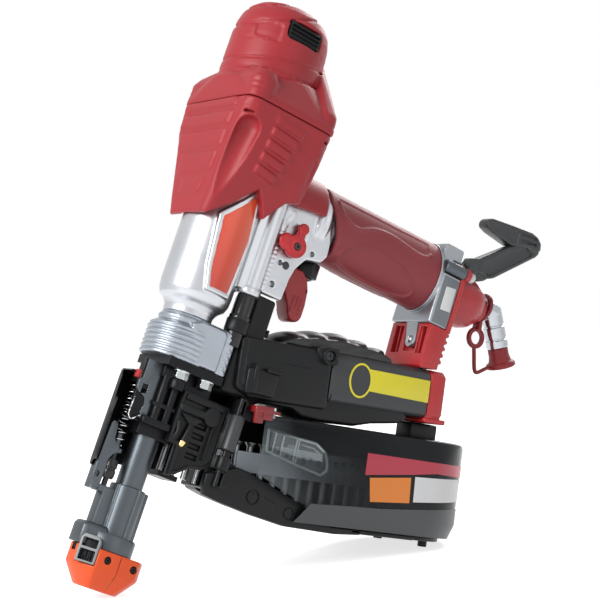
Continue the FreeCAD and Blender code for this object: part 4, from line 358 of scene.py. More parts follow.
def turned(profile, at=(0, 0, 0), along=(0, 0, 1), sides=72):
    """Spin a profile of (radius, height) about an axis."""
    bm = bmesh.new()
    ring = [bm.verts.new((radius, 0, height)) for radius, height in profile]
    edges = [bm.edges.new(pair) for pair in zip(ring, ring[1:])]
    bmesh.ops.spin(bm, geom=ring + edges, cent=(0, 0, 0), axis=(0, 0, 1), angle=tau, steps=sides,
        use_merge=True)
    bmesh.ops.remove_doubles(bm, verts=bm.verts, dist=1e-4)
    bmesh.ops.recalc_face_normals(bm, faces=bm.faces)
    bm.transform(Matrix.Translation(at) @ Vector(along).to_track_quat("Z",
        "Y").to_matrix().to_4x4())
    return bm


def hull(points, rim=0.0, steps=2):
    """The solid that is stretched over a set of corners."""
    bm = bmesh.new()
    for point in points:
        bm.verts.new(point)
    made = bmesh.ops.convex_hull(bm, input=bm.verts)
    bmesh.ops.delete(bm, geom=[g for g in made["geom_interior"]
        if isinstance(g, bmesh.types.BMVert)], context="VERTS")
    bmesh.ops.dissolve_limit(bm, angle_limit=radians(2), verts=bm.verts, edges=bm.edges)
    bmesh.ops.recalc_face_normals(bm, faces=bm.faces)
    return soften(bm, rim, steps)


def wedge(outline, low, high, rim=0.0, steps=2):
    """The solid stretched over an outline of (x, z), from low to high across the tool."""
    return hull([(x, y, z) for x, z in outline for y in (low, high)], rim, steps)


def run_along(points, thick, sides=12):
    """Round bar through a row of points, with a ball at each bend."""
    parts = []
    for start, end in zip(points, points[1:]):
        parts.append(rod(start, end, thick, sides=sides))
    parts.extend(ball(point, thick, finer=1) for point in points)
    return together(*parts)


def together(*parts):
    """Put several meshes in one."""
    whole = bmesh.new()
    for part in parts:
        mesh = bpy.data.meshes.new("part")
        part.to_mesh(mesh)
        part.free()
        whole.from_mesh(mesh)
        bpy.data.meshes.remove(mesh)
    return whole


def both_sides(bm):
    """Add the same shape across the tool's middle."""
    other = bm.copy()
    bmesh.ops.scale(other, vec=(1, -1, 1), verts=other.verts)
    bmesh.ops.reverse_faces(other, faces=other.faces)
    return together(bm, other)


def blank(bm, name="blank"):
    """An object for modifiers to work on, in mm."""
    mesh = bpy.data.meshes.new(name)
    bm.to_mesh(mesh)
    bm.free()
    made = bpy.data.objects.new(name, mesh)
    bpy.context.scene.collection.objects.link(made)
    return made


def worked(made):
    """Take an object's mesh with its modifiers worked in, and clear the object away."""
    bpy.context.view_layer.update()
    finished = made.evaluated_get(bpy.context.evaluated_depsgraph_get())
    mesh = bpy.data.meshes.new_from_object(finished)
    bm = bmesh.new()
    bm.from_mesh(mesh)
    bpy.data.meshes.remove(mesh)
    old = made.data
    bpy.data.objects.remove(made)
    bpy.data.meshes.remove(old)
    return bm


def joined(how, bm, other):
    """Cut one mesh with another, or keep what they share."""
    made, cutter = blank(bm), blank(other, "cutter")
    boolean = made.modifiers.new("boolean", "BOOLEAN")
    boolean.operation, boolean.solver, boolean.use_self = how, "EXACT", True
    boolean.object = cutter
    done = worked(made)
    old = cutter.data
    bpy.data.objects.remove(cutter)
    bpy.data.meshes.remove(old)
    return done


def cut(bm, *cutters):
    """Cut a mesh with others."""
    return joined("DIFFERENCE", bm, together(*cutters))


def common(bm, other):
    """Keep what two meshes share."""
    return joined("INTERSECT", bm, other)


def moulded(bm, cuts=None, grain=0.8, passes=5):
    """Cut the hollows from overlapping solids, and melt all into one skin with soft corners."""
    if cuts:
        bm = cut(bm, cuts)
    made = blank(bm)
    melt = made.modifiers.new("melt", "REMESH")
    melt.mode, melt.voxel_size = "VOXEL", grain
    bm = worked(made)
    for _ in range(passes):
        bmesh.ops.smooth_vert(bm, verts=bm.verts, factor=0.5, use_axis_x=True, use_axis_y=True,
            use_axis_z=True)
    return bm


def piece(name, bm, way, material, body, slot, *nodes, crease=35):
    """Place a finished mesh in the frame, in metres, fixed to its body, with its finish,
    and hide the CAD nodes that it stands for. The slot is not used."""
    mesh = bpy.data.meshes.new(name)
    bmesh.ops.recalc_face_normals(bm, faces=bm.faces)
    bm.to_mesh(mesh)
    bm.free()
    mesh.transform(way)
    mesh.shade_smooth()
    if crease < 180:
        mesh.set_sharp_from_angle(angle=radians(crease))
    mesh.materials.append(material)
    made = bpy.data.objects.new(name, mesh)
    bpy.context.scene.collection.objects.link(made)
    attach(made, body)
    if nodes:
        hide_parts(*nodes)
    return made


foot, top = span("body_casting", tool)
barrel_foot = foot.z                                    # underside of the barrel
barrel_r = span("cylinder_sleeve", tool)[1].x + 4.1     # the sleeve and the wall round it
plate_half = span("housing_pins", tool)[1].y            # half width of the trigger housing
tube_low, tube_high = span("feed_air_tube", tool)
tube_x, tube_y = (tube_low.x + tube_high.x) / 2, (tube_low.y + tube_high.y) / 2
tube_r = (tube_high.x - tube_low.x) / 2
column_high = span("feed_housing", tool)[1]
grip_low, grip_high = span("grip", tool)
grip_z = (grip_low.z + grip_high.z) / 2

barrel = turned([(0, barrel_foot), (14.6, barrel_foot), (14.8, barrel_foot + 4),
    (16.6, barrel_foot + 7), (19.6, barrel_foot + 9.5), (21.0, barrel_foot + 13),
    (barrel_r, barrel_foot + 18), (barrel_r, 268), (0, 268)])
panel_edge = [(-12.4, 223.4), (8.8, 247.0), (13.9, 215.0), (10.2, 178.2), (-6.6, 178.2),
    (-9.6, 192)]
panel_pad = common(slab(panel_edge, -30, -5), bar("Z", 0, 0, 170, 250, barrel_r + 1.3, sides=96))
air_tube = together(bar("Z", tube_x, tube_y, column_high.z - 4.5, 250, tube_r + 0.9, rim=0.8),
    bar("Z", tube_x, tube_y, 187, 191, tube_r + 1.5, rim=0.5),
    hull([(x, y, z) for x, y in ((barrel_r - 6, tube_y - 3), (tube_x, tube_y - 5),
    (barrel_r - 6, tube_y + 9), (tube_x, tube_y + 4)) for z in (189, 250)]))
side_outline = [(33.2, 192.2), (48.4, 192.2), (49.4, 207), (51, 213.6), (56, 221.5), (66.6, 224),
    (69.8, 229), (69, 238), (66, 248), (61.5, 256.5), (54, 262), (44, 262), (30, 262), (24, 240),
    (24, 226), (30.5, 199)]
side_plates = both_sides(slab(side_outline, -plate_half, -9, rim=1.3, steps=3))
bridge = slab([(28, 218), (46, 224), (66, 226), (70, 232), (66, 248), (60, 258), (46, 262),
    (26, 262)], -plate_half + 1.2, plate_half - 1.2)
collar = together(*(ball((x, 0, grip_z - 1), (6, 17.6, 21.6), finer=4) for x in (57.5, 61.5)))
core = bar("X", 0, grip_z, 46, top.x - 8, 14, rim=2, sides=40)
bead_row = together(*(ball((32.2 + 0.05 * (z - 196), -plate_half + 0.6, z), (2.6, 1.5, 1.5),
    Matrix.Rotation(radians(-24), 4, "Y"), 2) for z in [196 + 2.75 * step for step in range(15)]))
mark_rims = together(*(run_along([(x + 4.6 * cos(a) * cos(lean) - 1.9 * sin(a) * sin(lean),
    -plate_half, z + 4.6 * cos(a) * sin(lean) + 1.9 * sin(a) * cos(lean))
    for a in [tau * step / 20 for step in range(21)]], 0.38, 8)
    for x, z, lean in ((36.0, 240.5, radians(62)), (50.5, 231.5, radians(78)))))
swing_mark = run_along([(44 + 13.5 * cos(a), -plate_half, 226 + 13.5 * sin(a))
    for a in [radians(32 + 7.5 * step) for step in range(9)]], 0.35, 8)
stem_low, stem_high = span("valve_stem", tool)
hollows = both_sides(together(bar("Y", 58.7, 226.5, -20, -11, 1.6, sides=20),
    bar("Y", 39.4, 213.4, -20, -11, 1.5, sides=20), bar("Y", 38.6, 199.4, -20, -11, 1.9, sides=20)))
stem_x, stem_r = (stem_low.x + stem_high.x) / 2, (stem_high.x - stem_low.x) / 2
hollows = together(hollows, bar("Z", stem_x, 0, stem_low.z - 1, stem_high.z + 7, stem_r + 0.7))
frame_ridge = cut(common(slab(panel_edge, -30, -5), bar("Z", 0, 0, 170, 252, barrel_r + 2.1,
    sides=96)), slab([(-10.2, 222.6), (7.7, 242.6), (12.1, 214.8), (8.9, 180.2), (-5.3, 180.2),
    (-7.9, 192.4)], -31, -4))
casting = moulded(together(barrel, panel_pad, frame_ridge, air_tube, side_plates, bridge, collar,
    core, bead_row, mark_rims, swing_mark), hollows, grain=0.55, passes=3)
cast_silver = finish("cast_silver", (0.50, 0.515, 0.54), 0.30, (0.70, 0.71, 0.73), metal=0.92,
    grain=1100, depth=0.10, uneven=0.10, spread_by=0.16)
piece("body_casting_silver", casting, tool, cast_silver, "tool", "cast_aluminium", "body_casting",
    crease=180)

# ---- Label panel: a bare red sheet in the raised frame cast on the barrel, printed
# with a slant of lighter orange.
panel = common(slab([(-9.9, 222.5), (7.5, 241.9), (11.8, 214.8), (8.7, 180.5), (-5.1, 180.5),
    (-7.7, 192.5)], -31, -4), cut(bar("Z", 0, 0, 172, 250, barrel_r + 1.5, sides=128),
    bar("Z", 0, 0, 170, 252, barrel_r + 0.6, sides=128)))


def plain(name, **constants):
    """A material with a bare Principled shader, for patterns of its own."""
    material = bpy.data.materials.new(name)
    material.use_nodes = True
    shader = material.node_tree.nodes["Principled BSDF"]
    for socket, value in constants.items():
        shader.inputs[socket.replace("_", " ")].default_value = value
    return material, material.node_tree, shader


def lie_along(tree, lean):
    """Object coordinates turned to lie along a part that leans by so many degrees."""
    place = tree.nodes.new("ShaderNodeTexCoord")
    lie = node_of(tree, "Mapping", Rotation=(0, radians(lean), 0))
    tree.links.new(place.outputs["Object"], lie.inputs["Vector"])
    parts = tree.nodes.new("ShaderNodeSeparateXYZ")
    tree.links.new(lie.outputs[0], parts.inputs[0])
    return place.outputs["Object"], lie.outputs[0], parts


tool_lean = 23.869
panel_red, tree, shader = plain("panel_red", Roughness=0.26, Coat_Weight=0.3)
parts = lie_along(tree, 24)[2]
slant = sums(tree, "ADD", parts.outputs["X"], sums(tree, "MULTIPLY", parts.outputs["Z"], -0.35))
bands = tree.nodes.new("ShaderNodeMapRange")
bands.inputs["From Min"].default_value, bands.inputs["From Max"].default_value = 0.075, 0.125
tree.links.new(slant, bands.inputs["Value"])
fade = tree.nodes.new("ShaderNodeValToRGB")
fade.color_ramp.elements[0].color = (0.52, 0.018, 0.012, 1)
fade.color_ramp.elements[1].color = (0.80, 0.10, 0.035, 1)
tree.links.new(bands.outputs[0], fade.inputs["Fac"])
tree.links.new(fade.outputs[0], shader.inputs["Base Color"])
piece("barrel_panel", panel, tool, panel_red, "tool", "cast_aluminium", crease=40)

# ---- Nose holder: a ribbed aluminium casting that carries the driver guide under the
# barrel. A flat pad is cast on each side of it, over the nose bolts.
low, high = span("nose_holder", tool)
holder_low = low.z
ribs = [(0, holder_low), (19.3, holder_low)]
for step in range(6):
    z = holder_low + 0.6 + 2.95 * step
    ribs += [(20.0, z), (20.0, z + 1.4), (18.7, z + 1.9), (18.7, z + 2.6)]
ribs += [(19.7, holder_low + 18.4), (17.4, holder_low + 20.2), (15.0, holder_low + 22),
    (16.0, holder_low + 23.3), (16.0, holder_low + 24.8), (14.6, holder_low + 25.5), (14.6, high.z),
    (0, high.z)]
pad = [(-1, 137), (-3, 142), (1, 147), (-2, 151), (-5, 158), (2, 161), (17, 161), (19, 159),
    (19, 137)]
bumps = [ball((22.9 + 0.5 * (-1) ** step, -17.8, 139 + 2.1 * step), (1.7, 1.2, 0.75),
    Matrix.Rotation(radians(25 * (-1) ** step), 4, "Y")) for step in range(11)]
holder = moulded(together(turned(ribs, sides=96), brick((1, -18, holder_low),
    (high.x - 0.4, 18, high.z - 0.6), rim=1.6), both_sides(together(slab(pad, -19.2, -12, rim=0.5),
    *bumps))), bar("Z", 0, 0, low.z - 2, high.z + 2, span("driver_shaft", tool)[1].x + 0.8),
    grain=0.5, passes=2)
nose_silver = finish("nose_silver", (0.33, 0.36, 0.40), 0.33, (0.62, 0.64, 0.67), metal=0.9,
    grain=1000, depth=0.10, edge=0.0006, spread_by=0.16)
piece("nose_casting", holder, tool, nose_silver, "tool", "cast_aluminium", "nose_holder",
    crease=180)

# ---- Bolts: zinc-plated M5 hexagon bolts with washers, four up through the guide's
# flange and four down through the cylinder cap's.
head_r, head_tall = 4.6, 5.0
low, high = span("hex_bolts", tool)


def hexagon_bolt(x, y, face, way):
    """A chamfered hexagon head on its washer, standing off a face."""
    prism = bar("Z", x, y, face + way * 0.8, face + way * head_tall, head_r, sides=6)
    round_top = turned([(0, 0), (5.2, 0), (5.2, 3.9), (4.1, head_tall), (0, head_tall)],
        (x, y, face), (0, 0, way), 48)
    return together(common(prism, round_top), bar("Z", x, y, face, face + way * 0.9, 5.3, rim=0.2))


nose_face = low.z + head_tall
bolts = [hexagon_bolt(x, y, nose_face, -1) for x in (1, 18) for y in (-13.5, 13.5)]
bolts += [hexagon_bolt(x, y, high.z - head_tall, 1) for x in (low.x + head_r, high.x - head_r)
    for y in (low.y + 4, high.y - 4)]
zinc = finish("zinc", (0.50, 0.53, 0.54), 0.26, (0.75, 0.76, 0.76), metal=1.0, grain=700,
    uneven=0.14, spread_by=0.14)
piece("hexagon_bolts", together(*bolts), tool, zinc, "tool", "zinc_steel", "hex_bolts", crease=30)

# ---- Driver guide: a blued steel block round the driver bit, bored for the guide tube
# and open at one side, where the door closes over the chute. A grey plate and a frame of
# two rods are riveted to it.
blued_steel = finish("blued_steel", (0.012, 0.0125, 0.014), 0.36, (0.07, 0.07, 0.075), metal=0.6,
    grain=1100, depth=0.05, uneven=0.2, shine=0.25)
grey_steel = finish("grey_steel", (0.085, 0.097, 0.108), 0.36, (0.22, 0.24, 0.26), metal=0.85,
    grain=1000, depth=0.06, edge=0.0006)
black_moulding = finish("black_moulding", (0.0055, 0.0060, 0.0070), 0.38, (0.032, 0.034, 0.037),
    grain=1400, depth=0.04, uneven=0.2, shine=0.22)
finish_nodes(blued_steel, "driver_guide")
plate = cut(slab([(-19.6, 131), (-9.4, 131), (-9.4, 97.6), (-13.4, 97.6), (-14.6, 101),
    (-13.6, 106), (-14.6, 109.6), (-19.4, 111.4), (-21.4, 113.2), (-21.4, 118.4), (-19.6, 120)],
    -10.7, -7.7, rim=0.4), slab([(-18.4, 110.8), (-14.6, 112), (-14.6, 117), (-18.4, 116.6)], -12,
    -6))
piece("guide_side_plate", plate, tool, grey_steel, "tool", "black_steel")
frame_bars = [bar("Z", x, -11.4, 98, 126, 2.5, rim=0.3) for x in (-5.6, 1.6)]
frame_bars += [brick((-9.6, -13.4, 107.2), (5.6, -9, 109.6), rim=0.5),
    brick((-9.6, -12.6, 124.5), (5.6, -9, 131), rim=0.6),
    brick((-13.2, -14.2, 95.8), (5.6, -8.8, 100.2), rim=0.9, steps=3),
    bar("Z", 1, -13, 119.6, 125.6, 4.7, rim=0.8), brick((-9.6, -9.6, 96), (5.6, -8.8, 131),
    rim=0.2)]
piece("guide_frame", together(*frame_bars), tool, blued_steel, "tool", "black_steel")
wire = run_along([(-20.4, -10.2, 108), (-21.4, -11.2, 102), (-21.6, -11.6, 97.6),
    (-20.4, -11.8, 95.6), (-18.4, -11.6, 95.6), (-15.4, -11.2, 98.4), (-12.6, -11, 99.6)], 0.42, 10)
piece("catch_wire", wire, tool, bright_steel, "tool", "spring_steel", crease=180)
catch_red = finish("catch_red", (0.40, 0.016, 0.02), 0.36, (0.55, 0.07, 0.07), grain=1200,
    edge=0.0006)
piece("catch_tab", brick((-23.2, -9.4, 118.8), (-17.6, -5.4, 123.6), rim=0.7), tool, catch_red,
    "tool", "red_plastic", crease=40)

# ---- Guide tube: a drawn steel tube pressed in the guide, that the contact sleeve slides
# on. It is slotted behind, where the screws come in, and carries a turned collar.
low, high = span("guide_tube", tool)
tube = cut(turned([(5.2, low.z), (7.7, low.z), (7.9, low.z + 0.6), (7.9, high.z), (5.2, high.z),
    (5.2, low.z)], sides=64), brick((2, -4.6, 75), (12, 4.6, 112)))
collar = turned([(7.0, 90.6), (8.8, 90.6), (9.0, 91.2), (9.0, 96), (7.0, 96), (7.0, 90.6)],
    sides=64)
piece("guide_tube_steel", together(tube, collar), tool, grey_steel, "tool", "steel", "guide_tube")

# ---- Feed housing: a black glass-filled nylon body that closes the far side of the
# chute, holds the feed cylinder and stands up in a column under the trigger housing.
body_box = [brick((28, -15.6, 129.2), (56, column_high.y - 3, 166), rim=3.2, steps=4),
    brick((26.4, 7.4, 92.4), (56, 17, 129.4), rim=0.6), brick((33.6, -13, 150),
    (47.1, 13, column_high.z), rim=1.8, steps=3), brick((42.7, -13, 119.5), (56, 9.2, 129.4),
    rim=0.6), brick((40.7, -13, 74.2), (56, 17, 92.6), rim=1),
    bar("X", 13, 118, 26.4, 56, 7, rim=0.5), bar("Z", tube_x, tube_y, 163.4, 171.6, 7, rim=1)]
for z in (119.5, 76.2):
    body_box += [hull([(x, y, z + rise) for x, y in ((40.8, -21.5), (45.2, -21.5), (46.6, -12),
        (40.8, -12)) for rise in (0, 8.9)], rim=0.6)]
body_box += [brick((46.4, -11.5, 169.4), (49.6, -8.6, 171.4), rim=0.5),
    brick((48.2, -11.5, 169.4), (49.6, -8.6, 174), rim=0.5),
    brick((32.6, -13.6, 150), (48, 13.6, 168), rim=2.2, steps=3)]
door_x, door_y = 42.7, -19                              # the door's rod
ways = together(bar("X", 13, 118, 24, 53, 5.1), brick((25, -5, 75), (57, 5.2, 117.2)),
    brick((25, 3.5, 96), (50, 15, 120)), bar("Z", door_x, door_y, 72, 130, 2.5))
feed_body = cut(together(*body_box), ways)
piece("feed_body", feed_body, tool, black_moulding, "tool", "black_plastic", "feed_housing")
air_pipe = together(bar("Z", tube_x, tube_y, column_high.z - 36, tube_high.z - 0.4, tube_r, rim=0.6,
    sides=48), bar("Z", tube_x, tube_y, 171, 174, tube_r + 0.8, rim=0.5, sides=48))
gloss_black = finish("gloss_black", (0.006, 0.0065, 0.0075), 0.20, (0.04, 0.042, 0.045), grain=900,
    depth=0.015, uneven=0.15, shine=0.4)
piece("feed_air_pipe", air_pipe, tool, gloss_black, "tool", "black_plastic", "feed_air_tube",
    crease=180)
finish_nodes(blued_steel, "door_rod")
finish_nodes(bright_steel, "feed_piston")

# ---- Nose door: a black steel door over the chute. It swings on a rod behind it, and has
# ribs and slots pressed in it and a sprung pin with a brass end that keeps it shut.
door_edge = [(6.2, 121.8), (6.2, 91.2), (12.7, 91.2), (12.7, 73), (17.5, 75), (24.5, 80.6),
    (34, 83), (39, 88), (39, 121.8)]
door_inner = [(8, 120.4), (8, 93), (14.4, 93), (14.4, 76), (17, 77), (24, 82.4), (33.4, 84.8),
    (37.4, 89), (37.4, 120.4)]
skin_bm = cut(slab(door_edge, -15.2, -9.5, rim=0.7), slab(door_inner, -18, -13.4, rim=0.3))
slots = together(*(bar("X", -13.2, z, 20.4, 28.6, 1.75, sides=24)
    for z in (87.6, 93.6, 99.6, 105.6)))
skin_bm = cut(skin_bm, slots)
ridges = [brick((8.4, -15.8, 117.2), (36, -13, 121.2), rim=1.0),
    brick((6.6, -16.6, 109.9), (24, -13, 114.6), rim=1.2, steps=3),
    bar("Y", 28.3, 112.8, -17, -13, 5.6, rim=0.7), brick((30.8, -15.4, 88), (32.2, -13, 108),
    rim=0.4), wedge(((8.6, 109), (15.4, 104.4), (18.8, 104.4), (24, 109)), -15.6, -13, rim=0.5),
    run_along([(9.2, -14.4, 94), (10.4, -14.8, 98), (9.4, -14.6, 104)], 1.5, 14),
    rod((17.4, -14.9, 105), (15.1, -14.9, 93.4), 1.7, rim=0.3)]
hinge = [bar("Z", door_x, door_y, z_low, z_high, 4.2, rim=0.4)
    for z_low, z_high in ((97.4, 119.2), (86, 94))]
hinge += [hull([(x, y, z) for x, y in ((37.4, -15), (37.4, -10.4), (41.6, -22.6), (45, -17.2))
    for z in span_z], rim=0.3) for span_z in ((97.6, 119), (86.2, 93.8))]
door_bm = cut(together(skin_bm, *ridges, *hinge), bar("Z", door_x, door_y, 70, 130, 2.6))
piece("door_skin", door_bm, tool, black_moulding, "door", "black_steel", "nose_door")
hinge_tube = turned([(2.6, 0), (3.3, 0), (3.6, 0.4), (4.3, 0.8), (4.3, 20.6), (3.8, 21.4),
    (2.6, 21.4), (2.6, 0)], (42.7, -19.2, 97.6))
dull_grey = finish("dull_grey", (0.035, 0.038, 0.040), 0.42, (0.10, 0.105, 0.11), metal=0.3,
    grain=1200, depth=0.05, edge=0.0006)
piece("door_hinge_tube", hinge_tube, tool, dull_grey, "door", "black_steel")
brass = finish("brass", (0.80, 0.62, 0.26), 0.22, metal=1.0, grain=800)
piece("door_pin_end", together(ball((14.9, -15.0, 92.2), 1.9),
    rod((15.3, -15, 94), (15.0, -15, 92.6), 2.1, rim=0.3)), tool, brass, "door", "steel", crease=40)

# ---- Contact sleeve: a grey steel sleeve with a rib in front and a fin behind, brazed to
# the collar that carries the tip. It slides up the guide tube when the tip is pressed.
low, high = span("contact_sleeve", tool)
foot_z, head_z = low.z, high.z
sleeve_r, bore_r = 10.4, 8.1
shell_bm = turned([(bore_r, foot_z), (sleeve_r, foot_z), (sleeve_r, head_z - 0.5),
    (sleeve_r - 0.5, head_z), (bore_r, head_z), (bore_r, foot_z)])
flutes = together(*(bar("Z", 10.7 * cos(radians(way)), 10.7 * sin(radians(way)), foot_z - 1, head_z
    + 1, 1.0, sides=16) for way in (-148, -82, 148, 82)))
shell_bm = cut(shell_bm, flutes)
house = hull([(x, y, z) for x, y in ((-22.4, -6), (-19, -8.4), (-8, -8.4), (-8, 8.4), (-19, 8.4),
    (-22.4, 6)) for z in (foot_z + 0.2, 32.6)] + [(x, y, 34.8)
    for x, y in ((-21, -5), (-18, -7), (-8, -7), (-8, 7), (-18, 7), (-21, 5))], rim=0.6)
sleeve_bm = together(shell_bm, house, brick((-16.8, -4.4, 31), (-8.6, 4.4, head_z - 4), rim=0.9),
    brick((8.4, -4.2, 25), (12.0, 4.2, head_z - 0.4), rim=0.8),
    turned([(bore_r, 22), (14.6, 22), (15, 22.4), (15, 30.6), (14.2, 31.8), (bore_r, 31.8),
    (bore_r, 22)], (-1, 0, 0)))
cut_out = cut(sleeve_bm, bar("Z", 0, 0, 20, 62, bore_r, sides=64),
    bar("Z", -14, 0, 20, 27, 6.9, sides=48))
piece("sleeve_grey", cut_out, tool, grey_steel, "contact_arm", "black_steel", "contact_sleeve")

# ---- Contact tip: an orange polyurethane shoe, screwed on so that it leaves no mark on
# the board. The depth dial shows in a framed window at its front corner, and four
# blued screws hold the shoe to the sleeve.
low, high = span("contact_tip", tool)
wide_ring = [(-20.6, -3.5), (-20.6, 5), (-13, 14.5), (12, 15), (high.x, 9), (high.x, -10),
    (13, low.y), (-13.4, low.y)]
mouth_ring = [(-13, -5), (-12.6, 3), (-7, 8.5), (7, 8.5), (11, 5), (11, -6), (6.5, -10), (-9, -10)]
dial_x = -14
tip_bm = hull([(x, y, z) for x, y in wide_ring for z in (11, high.z)]
    + [(x, y, 0) for x, y in mouth_ring], rim=1.0, steps=3)
corner = Matrix.Translation((-17.5, -11.6, 0)) @ Matrix.Rotation(radians(-38), 4, "Z")


def turned_corner(bm):
    """Stand a shape square to the tip's front corner."""
    bm.transform(corner)
    return bm


crease_x, crease_wide = 0.8, 0.7
creases = [together(brick((crease_x, low.y - 1, 10.6), (crease_x + crease_wide, low.y + 0.7, 23)),
    hull([(crease_x + dx, y, z) for dx in (0, crease_wide)
    for y, z in ((low.y - 1, 11), (low.y + 0.7, 11), (-11.4, -1), (-9.2, -1))])),
    brick((crease_x, 16.3, 10.6), (crease_x + crease_wide, 18, 23))]
screw_spots = ((-6.6, 17.2), (10.6, 16.8))
sockets = [bar("Y", x, z, side * 18, side * 15.4, 2.3, sides=24) for x, z in screw_spots
    for side in (-1, 1)]
tube_reach = bar("Z", 0, 0, span("guide_tube", tool)[0].z - 28.4, 60, 8.2, sides=48)
tip_bm = cut(tip_bm, bar("Z", 0, 0, -2, 24, 6.5, sides=48), tube_reach.copy(),
    bar("Z", dial_x, 0, 17.6, 24, 6.9, sides=48), turned_corner(brick((-6.2, -8, 11.8),
    (6.2, 4.6, 24))), *creases, *sockets)
tip_orange = finish("tip_orange", (0.80, 0.088, 0.012), 0.40, (0.90, 0.22, 0.06), grain=1400,
    depth=0.04, uneven=0.05, edge=0.0008, patches=30, shine=0.45)
piece("tip_shoe", tip_bm, tool, tip_orange, "contact_arm", "orange_plastic", "contact_tip",
    crease=32)
dial_frame = cut(turned_corner(wedge(((-5.8, 12.4), (5.8, 12.4), (5.8, 25.4), (4.2, 28), (-4.2, 28),
    (-5.8, 25.4)), -1.6, 3.4, rim=0.5)), turned_corner(together(brick((-4.4, -4, 13.4),
    (4.4, 6, 19.6), rim=0.5), brick((-4.4, -4, 21), (4.4, 6, 26), rim=0.5))))
pale_grey = finish("pale_grey", (0.26, 0.275, 0.285), 0.42, (0.40, 0.42, 0.43), grain=1200,
    depth=0.05)
piece("dial_frame", dial_frame, tool, pale_grey, "contact_arm", "grey_plastic")
teeth = [turned_corner(brick((-5.2, 1.6, 12.6), (5.2, 4.4, 27), rim=0.2))]
teeth += [turned_corner(bar("Z", x, 1.4, 13, 19.4, 0.55, sides=10))
    for x in (-3.6, -2.2, -0.8, 0.6, 2.0, 3.4)]
teeth += [turned_corner(brick((-1.6, 0.6, 15.4), (-0.9, 1.8, 18.8), rim=0.1)),
    turned_corner(brick((1.3, 0.6, 15.0), (2.0, 1.8, 18.4), rim=0.1))]
piece("dial_teeth", together(*teeth), tool, black_moulding, "contact_arm", "black_plastic",
    crease=40)
wheel = [bar("Z", dial_x, 0, 18.2, 26.6, 5.9, rim=0.5, sides=48)]
wheel += [bar("Z", dial_x + 6.0 * cos(tau * n / 24), 6.0 * sin(tau * n / 24), 18.4, 26.4, 0.5,
    sides=8) for n in range(24)]
wheel = cut(together(*wheel), tube_reach)
piece("depth_dial", wheel, tool, black_moulding, "dial", "black_plastic", "adjuster_dial",
    crease=40)
heads = [turned([(0, 0), (0.8, 0), (0.8, 0.9), (1.4, 0.9), (1.9, 0.5), (2.1, -0.2), (2.1, -2),
    (0, -2)], (x, side * 16.0, z), (0, side, 0), 32) for x, z in screw_spots for side in (-1, 1)]
piece("tip_screw_heads", together(*heads), tool, blued_steel, "contact_arm", "zinc_steel",
    "tip_screws")

# ---- Link plate: a grey pressed plate that joins the sleeve to the return spring, with a
# black rubber buffer on its stud. A black bent sheet guards them.
link = cut(slab([(-25.8, 90.6), (-24.6, 92.2), (-22.6, 92.2), (-21.4, 90.8), (-20.6, 83.2),
    (-19.6, 81.4), (-16.4, 80.4), (-15.6, 76.2), (-18.6, 74.0), (-20.3, 70.4), (-20.1, 63.7),
    (-20.3, 55.6), (-21.2, 53), (-23.8, 52.2), (-25.6, 53.6), (-26.4, 58.9), (-26.6, 66),
    (-26.2, 83.1)], -4.6, -2.0, rim=0.4), bar("Y", -24.2, 61, -8, 0, 1.7, sides=24))
link = together(link, brick((-20.6, -4.2, 52.4), (-9.4, 4.2, 56.2), rim=0.5),
    brick((-24.4, -2.4, 52.6), (-20.8, 5.6, 76), rim=0.5),
    brick((-22, -4.4, 76.0), (-13.8, 4.8, 78.6), rim=0.6),
    bar("Z", -16.5, 0, 78, 87.0, 2.2, rim=0.4))
piece("link_grey", link, tool, grey_steel, "contact_arm", "black_steel", "link_plate")
buffer_bm = turned([(0, 60.4), (3.0, 60.4), (3.6, 61), (4.0, 62.2), (4.0, 65.2), (3.5, 65.7),
    (3.5, 66.5), (4.0, 67), (4.0, 70.6), (3.2, 71.8), (0, 71.8)], (-16.8, -2.2, 0), sides=40)
buffer_bm = together(buffer_bm, bar("Z", -16.8, -2.2, 71.6, 76.4, 1.6, rim=0.2),
    bar("Z", -16.8, -2.2, 56, 60.6, 1.6))
piece("link_buffer", buffer_bm, tool, gloss_black, "contact_arm", "black_rubber", crease=40)
bend = [(-29.4, -6.4), (-29.3, -2.5), (-28.0, 1.5), (-25.6, 5), (-22, 7.6), (-17, 9.2),
    (-11.7, 9.6)]
inner_bend = [(-11.7, 8.4), (-16.8, 8.0), (-21.4, 6.5), (-24.7, 4.2), (-26.9, 1.0), (-28.1, -2.7),
    (-28.2, -6.4)]
side_view = [(-20, 122.9), (-24.6, 122.8), (-26.8, 121.2), (-27.9, 117.4), (-27.8, 109),
    (-28.6, 100), (-30, 90), (-30, 74), (-28.6, 69), (-26.6, 65.4), (-18, 65), (-10, 73),
    (-10, 122.9)]
screen = common(slab(bend + inner_bend, 60, 125, "Z", rim=0.25), slab(side_view, -10, 14))
screen = together(screen, common(slab(bend + [(-11.7, -6.4)], 121.6, 122.9, "Z"),
    slab(side_view, -10, 14)), slab([(-20, 66), (-13, 70.5), (1.5, 72), (1.5, 96), (-20, 96)], 11.0,
    12.2, rim=0.3))
piece("spring_screen", screen, tool, black_moulding, "tool", "black_steel", "spring_guard")

# ---- Return spring: a coil of spring steel wire that pushes the contact arm down. It
# closes up as the arm rises.


